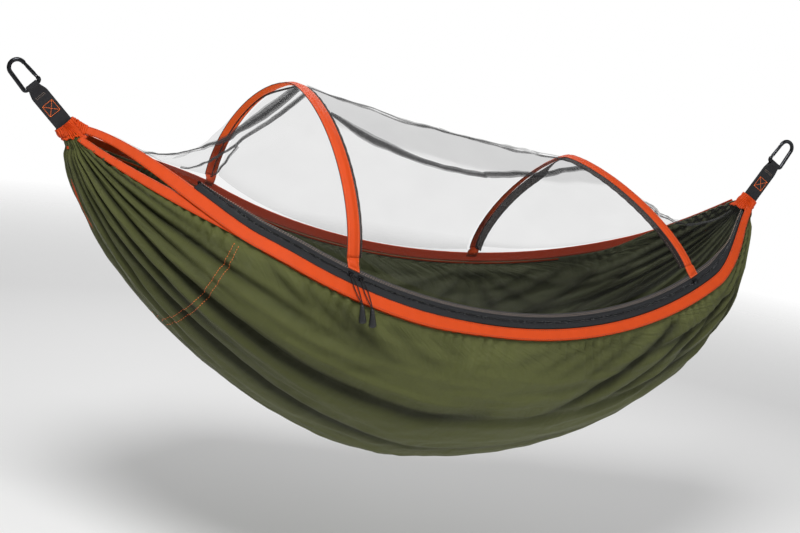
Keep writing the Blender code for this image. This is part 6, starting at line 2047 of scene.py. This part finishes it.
class HAMMOCK_OT_pulls(Operator):
    """Zip sliders, their rings, cord pulls and moulded grips, and the end stops"""

    bl_idname = "hammock.pulls"
    bl_label = "Sliders and Pulls"

    def execute(self, context):
        for letter in "abc":
            rounded_copy(f"slider_{letter}", f"slider_{letter}_shell", f"slider_{letter}")
        for node in ("zip_left_stop", "zip_right_stop"):
            dress(node, "alloy")
        for letter, sweep in (("a", SLIDER_A_SWEEP), ("b", SLIDER_B_SWEEP)):
            dress(f"pull_{letter}_ring", "alloy")
            self.pull(letter, sweep)
        return {"FINISHED"}

    def pull(self, letter, sweep):
        """Cord loop from the ring down into the grip."""
        hub = arc_point(sweep, RIM_RADIUS - COIL_MIDDLE) + ARC_AXIS * (SLIDER_FACE + BAIL_OPENING + BAIL_THICKNESS / 2)
        level = unit(np.cross(UPWARD, ARC_AXIS))
        steep = np.cross(ARC_AXIS, level)
        steep = steep if steep[2] < 0 else -steep
        level = level if level @ arc_heading(sweep) > 0 else -level
        down = steep * cos(PULL_LEAN) + level * sin(PULL_LEAN)
        aside = np.cross(ARC_AXIS, down)
        drop = PULL_RING_RADIUS - PULL_RING_WIRE - BAIL_WIDTH / 2 - 2 * CLEARANCE
        knot = hub + down * (drop + PULL_RING_RADIUS)
        length = (COIL_MIDDLE + HEM_WIDTH / 2 + CORD_OVERHANG) / (down @ arc_out(sweep)) - (knot - hub) @ down
        hang = unit([sin(PULL_LEAN), 0.0, -cos(PULL_LEAN)])
        knee = knot + down * length + ARC_AXIS * CORD_STAND_OUT
        half = CORD_LOOP_HALF_WIDTH
        foot = CORD_RADIUS + CLEARANCE / 2
        fine = np.linspace(0.10, 1.0, 16)
        runs, spreads = (0.0, 0.12, 0.32, 0.58, 0.82, 1.0), (0.30, 0.60, 1.0, 0.85, 0.45, foot / half)
        spread = softened(np.interp(fine, runs, spreads), 2)
        leg = [
            knot + down * length * run + aside * half * wide + ARC_AXIS * CORD_STAND_OUT * float(smooth(run))
            for run, wide in zip(fine, spread)
        ]
        leg.append(knee + hang * GRIP_BORE_DEPTH + aside * foot)
        wrap = PULL_RING_WIRE + CLEARANCE + CORD_SHOWN_RADIUS
        over = [
            knot - down * wrap * cos(a) + aside * 1.7 * wrap * sin(a)
            for a in np.radians(np.linspace(-80, 80, 9))
        ]
        other_leg = [point - 2 * aside * ((point - knot) @ aside) for point in reversed(leg)]
        loop = [*other_leg, *over, *leg]
        path = [point + ORIGIN for point in loop]
        pull, name = f"pull_{letter}", f"pull_{letter}_loop"
        mesh = tube_mesh(name, loop, CORD_SHOWN_RADIUS, resolution=2)
        cord = body_object(name, mesh, "cord", pull, [pull + "_cord"], "charcoal_webbing")
        run = float(run_along(np.array(path))[-1])
        tuple(path[0])
        [tuple(point) for point in path]
        self.grip(letter, knee + hang * CORD_RADIUS, hang, aside)

    def grip(self, letter, top, hang, aside):
        """A tapered moulded grip with a rounded foot and a shallow waist ring."""
        neck, bore = GRIP_NECK_RADIUS, GRIP_NECK_RADIUS - 0.0004
        mouth = [(0.0, -GRIP_BORE_DEPTH), (bore, -GRIP_BORE_DEPTH), (bore, -0.0004), (neck, 0.0)]
        outside = [(GRIP_RADIUS * width * 1.12, -GRIP_LENGTH * run) for run, width in GRIP_PROFILE]
        profile = [*mouth, (neck + CORD_RADIUS, -0.0006), *outside, (0.0, -GRIP_LENGTH)]
        pull, name = f"pull_{letter}", f"pull_{letter}_handle"
        mesh = spun(name, profile, 32, top, -hang, aside)
        body_object(name, mesh, "rubber", pull, [pull + "_grip"], "black_rubber")


# Lamps: place, size in metres and power in watts
LAMPS = (
    ("key", (-1.5, -2.6, 3.1), 1.7, 185.0),
    ("fill", (3.2, -2.6, 1.0), 2.6, 34.0),
    ("back", (0.6, 3.2, 2.4), 2.4, 60.0),
    ("low", (0.2, -3.0, -1.4), 2.4, 10.0),
)
LAMP_TARGET = np.array([0.0, 0.0, -0.35])
FLOOR_RADIUS = 6.0
FLOOR_DROP = 0.40
SOFT_LIGHT = 0.30


class HAMMOCK_OT_stage(Operator):
    """Pale floor, soft studio light and the camera"""

    bl_idname = "hammock.stage"
    bl_label = "Stage"

    def execute(self, context):
        self.floor()
        self.world(context.scene)
        for name, place, size, power in LAMPS:
            self.lamp(name, np.array(place), size, power)
        self.camera(context.scene)
        context.scene.view_settings.view_transform = "Standard"
        return {"FINISHED"}

    def floor(self):
        bm = bmesh.new()
        bmesh.ops.create_circle(bm, cap_ends=True, segments=96, radius=FLOOR_RADIUS)
        low = float(CAD_BOX[0][2]) - FLOOR_DROP
        bmesh.ops.translate(bm, vec=(ORIGIN[0], 0.0, low), verts=bm.verts)
        finish = Finish("pale_floor", (0.86, 0.86, 0.86), 0.9)
        place = (-float(ORIGIN[0]) / FLOOR_RADIUS, 0.0, -low / FLOOR_RADIUS)
        inputs = {"Vector": finish.base, "Location": place, "Scale": (1 / FLOOR_RADIUS,) * 3}
        centred = finish.base.node("ShaderNodeMapping", {}, inputs)
        ball = {"gradient_type": "SPHERICAL"}
        fade = finish.base.node("ShaderNodeTexGradient", ball, {"Vector": centred}, output="Fac")
        finish.set("Alpha", (fade * 2.2).clamped())
        finish.material.surface_render_method = "DITHERED"
        floor = linked("floor", mesh_of(bm, "floor"))
        floor.data.materials.append(finish.material)

    def world(self, scene):
        world = bpy.data.worlds.new("studio")
        scene.world = world
        world.use_nodes = True
        tree = world.node_tree
        soft, white = tree.nodes["Background"], tree.nodes.new("ShaderNodeBackground")
        for background, strength in ((soft, SOFT_LIGHT), (white, 1.0)):
            background.inputs["Color"].default_value = (1.0, 1.0, 1.0, 1.0)
            background.inputs["Strength"].default_value = strength
        rays = tree.nodes.new("ShaderNodeLightPath")
        mix = tree.nodes.new("ShaderNodeMixShader")
        tree.links.new(rays.outputs["Is Camera Ray"], mix.inputs["Fac"])
        tree.links.new(soft.outputs[0], mix.inputs[1])
        tree.links.new(white.outputs[0], mix.inputs[2])
        tree.links.new(mix.outputs[0], tree.nodes["World Output"].inputs["Surface"])

    def lamp(self, name, place, size, power):
        data = bpy.data.lights.new(name, "AREA")
        data.shape = "DISK"
        data.size = size
        data.energy = power
        lamp = linked(name, data)
        lamp.location = Vector(place + ORIGIN)
        lamp.rotation_euler = (Vector(LAMP_TARGET + ORIGIN) - lamp.location).to_track_quat("-Z", "Y").to_euler()

    def camera(self, scene):
        a, e, r = CAMERA_AZIMUTH, CAMERA_ELEVATION, CAMERA_ROLL
        forward = np.array([-sin(a) * cos(e), cos(a) * cos(e), -sin(e)])
        level = np.array([cos(a), sin(a), 0.0])
        upright = np.cross(level, forward)
        right = cos(r) * level + sin(r) * upright
        top = -sin(r) * level + cos(r) * upright
        data = bpy.data.cameras.new("camera")
        data.lens = CAMERA_LENS
        data.sensor_width = 36.0
        camera = linked("camera", data)
        camera.matrix_world = placing(CAMERA_TARGET - forward * CAMERA_DISTANCE, right, top, -forward)
        scene.camera = camera


BUILD_STEPS = (
    HAMMOCK_OT_stage, HAMMOCK_OT_pulls, HAMMOCK_OT_hems, HAMMOCK_OT_zip, HAMMOCK_OT_collars, HAMMOCK_OT_straps,
    HAMMOCK_OT_carabiners, HAMMOCK_OT_hoops, HAMMOCK_OT_body, HAMMOCK_OT_net,
)


class HAMMOCK_PT_panel(Panel):
    """Sizes, colours and the build steps"""

    bl_idname = "HAMMOCK_PT_panel"
    bl_label = "Hammock Tent"
    bl_space_type = "VIEW_3D"
    bl_region_type = "UI"
    bl_category = "Hammock Tent"

    def draw(self, context):
        layout = self.layout
        for group in (context.scene.hammock_sizes, context.scene.hammock_colours):
            box = layout.box()
            for name in group.__annotations__:
                box.prop(group, name)
        for step in BUILD_STEPS:
            layout.operator(step.bl_idname)


CLASSES = (HammockSizes, HammockColours, *BUILD_STEPS, HAMMOCK_PT_panel)


def register():
    for item in CLASSES:
        bpy.utils.register_class(item)
    bpy.types.Scene.hammock_sizes = PointerProperty(type=HammockSizes)
    bpy.types.Scene.hammock_colours = PointerProperty(type=HammockColours)


def unregister():
    del bpy.types.Scene.hammock_colours
    del bpy.types.Scene.hammock_sizes
    for item in reversed(CLASSES):
        bpy.utils.unregister_class(item)


def main():
    register()
    for step in BUILD_STEPS:
        group, name = step.bl_idname.split(".")
        getattr(getattr(bpy.ops, group), name)()


if __name__ == "__main__":
    main()
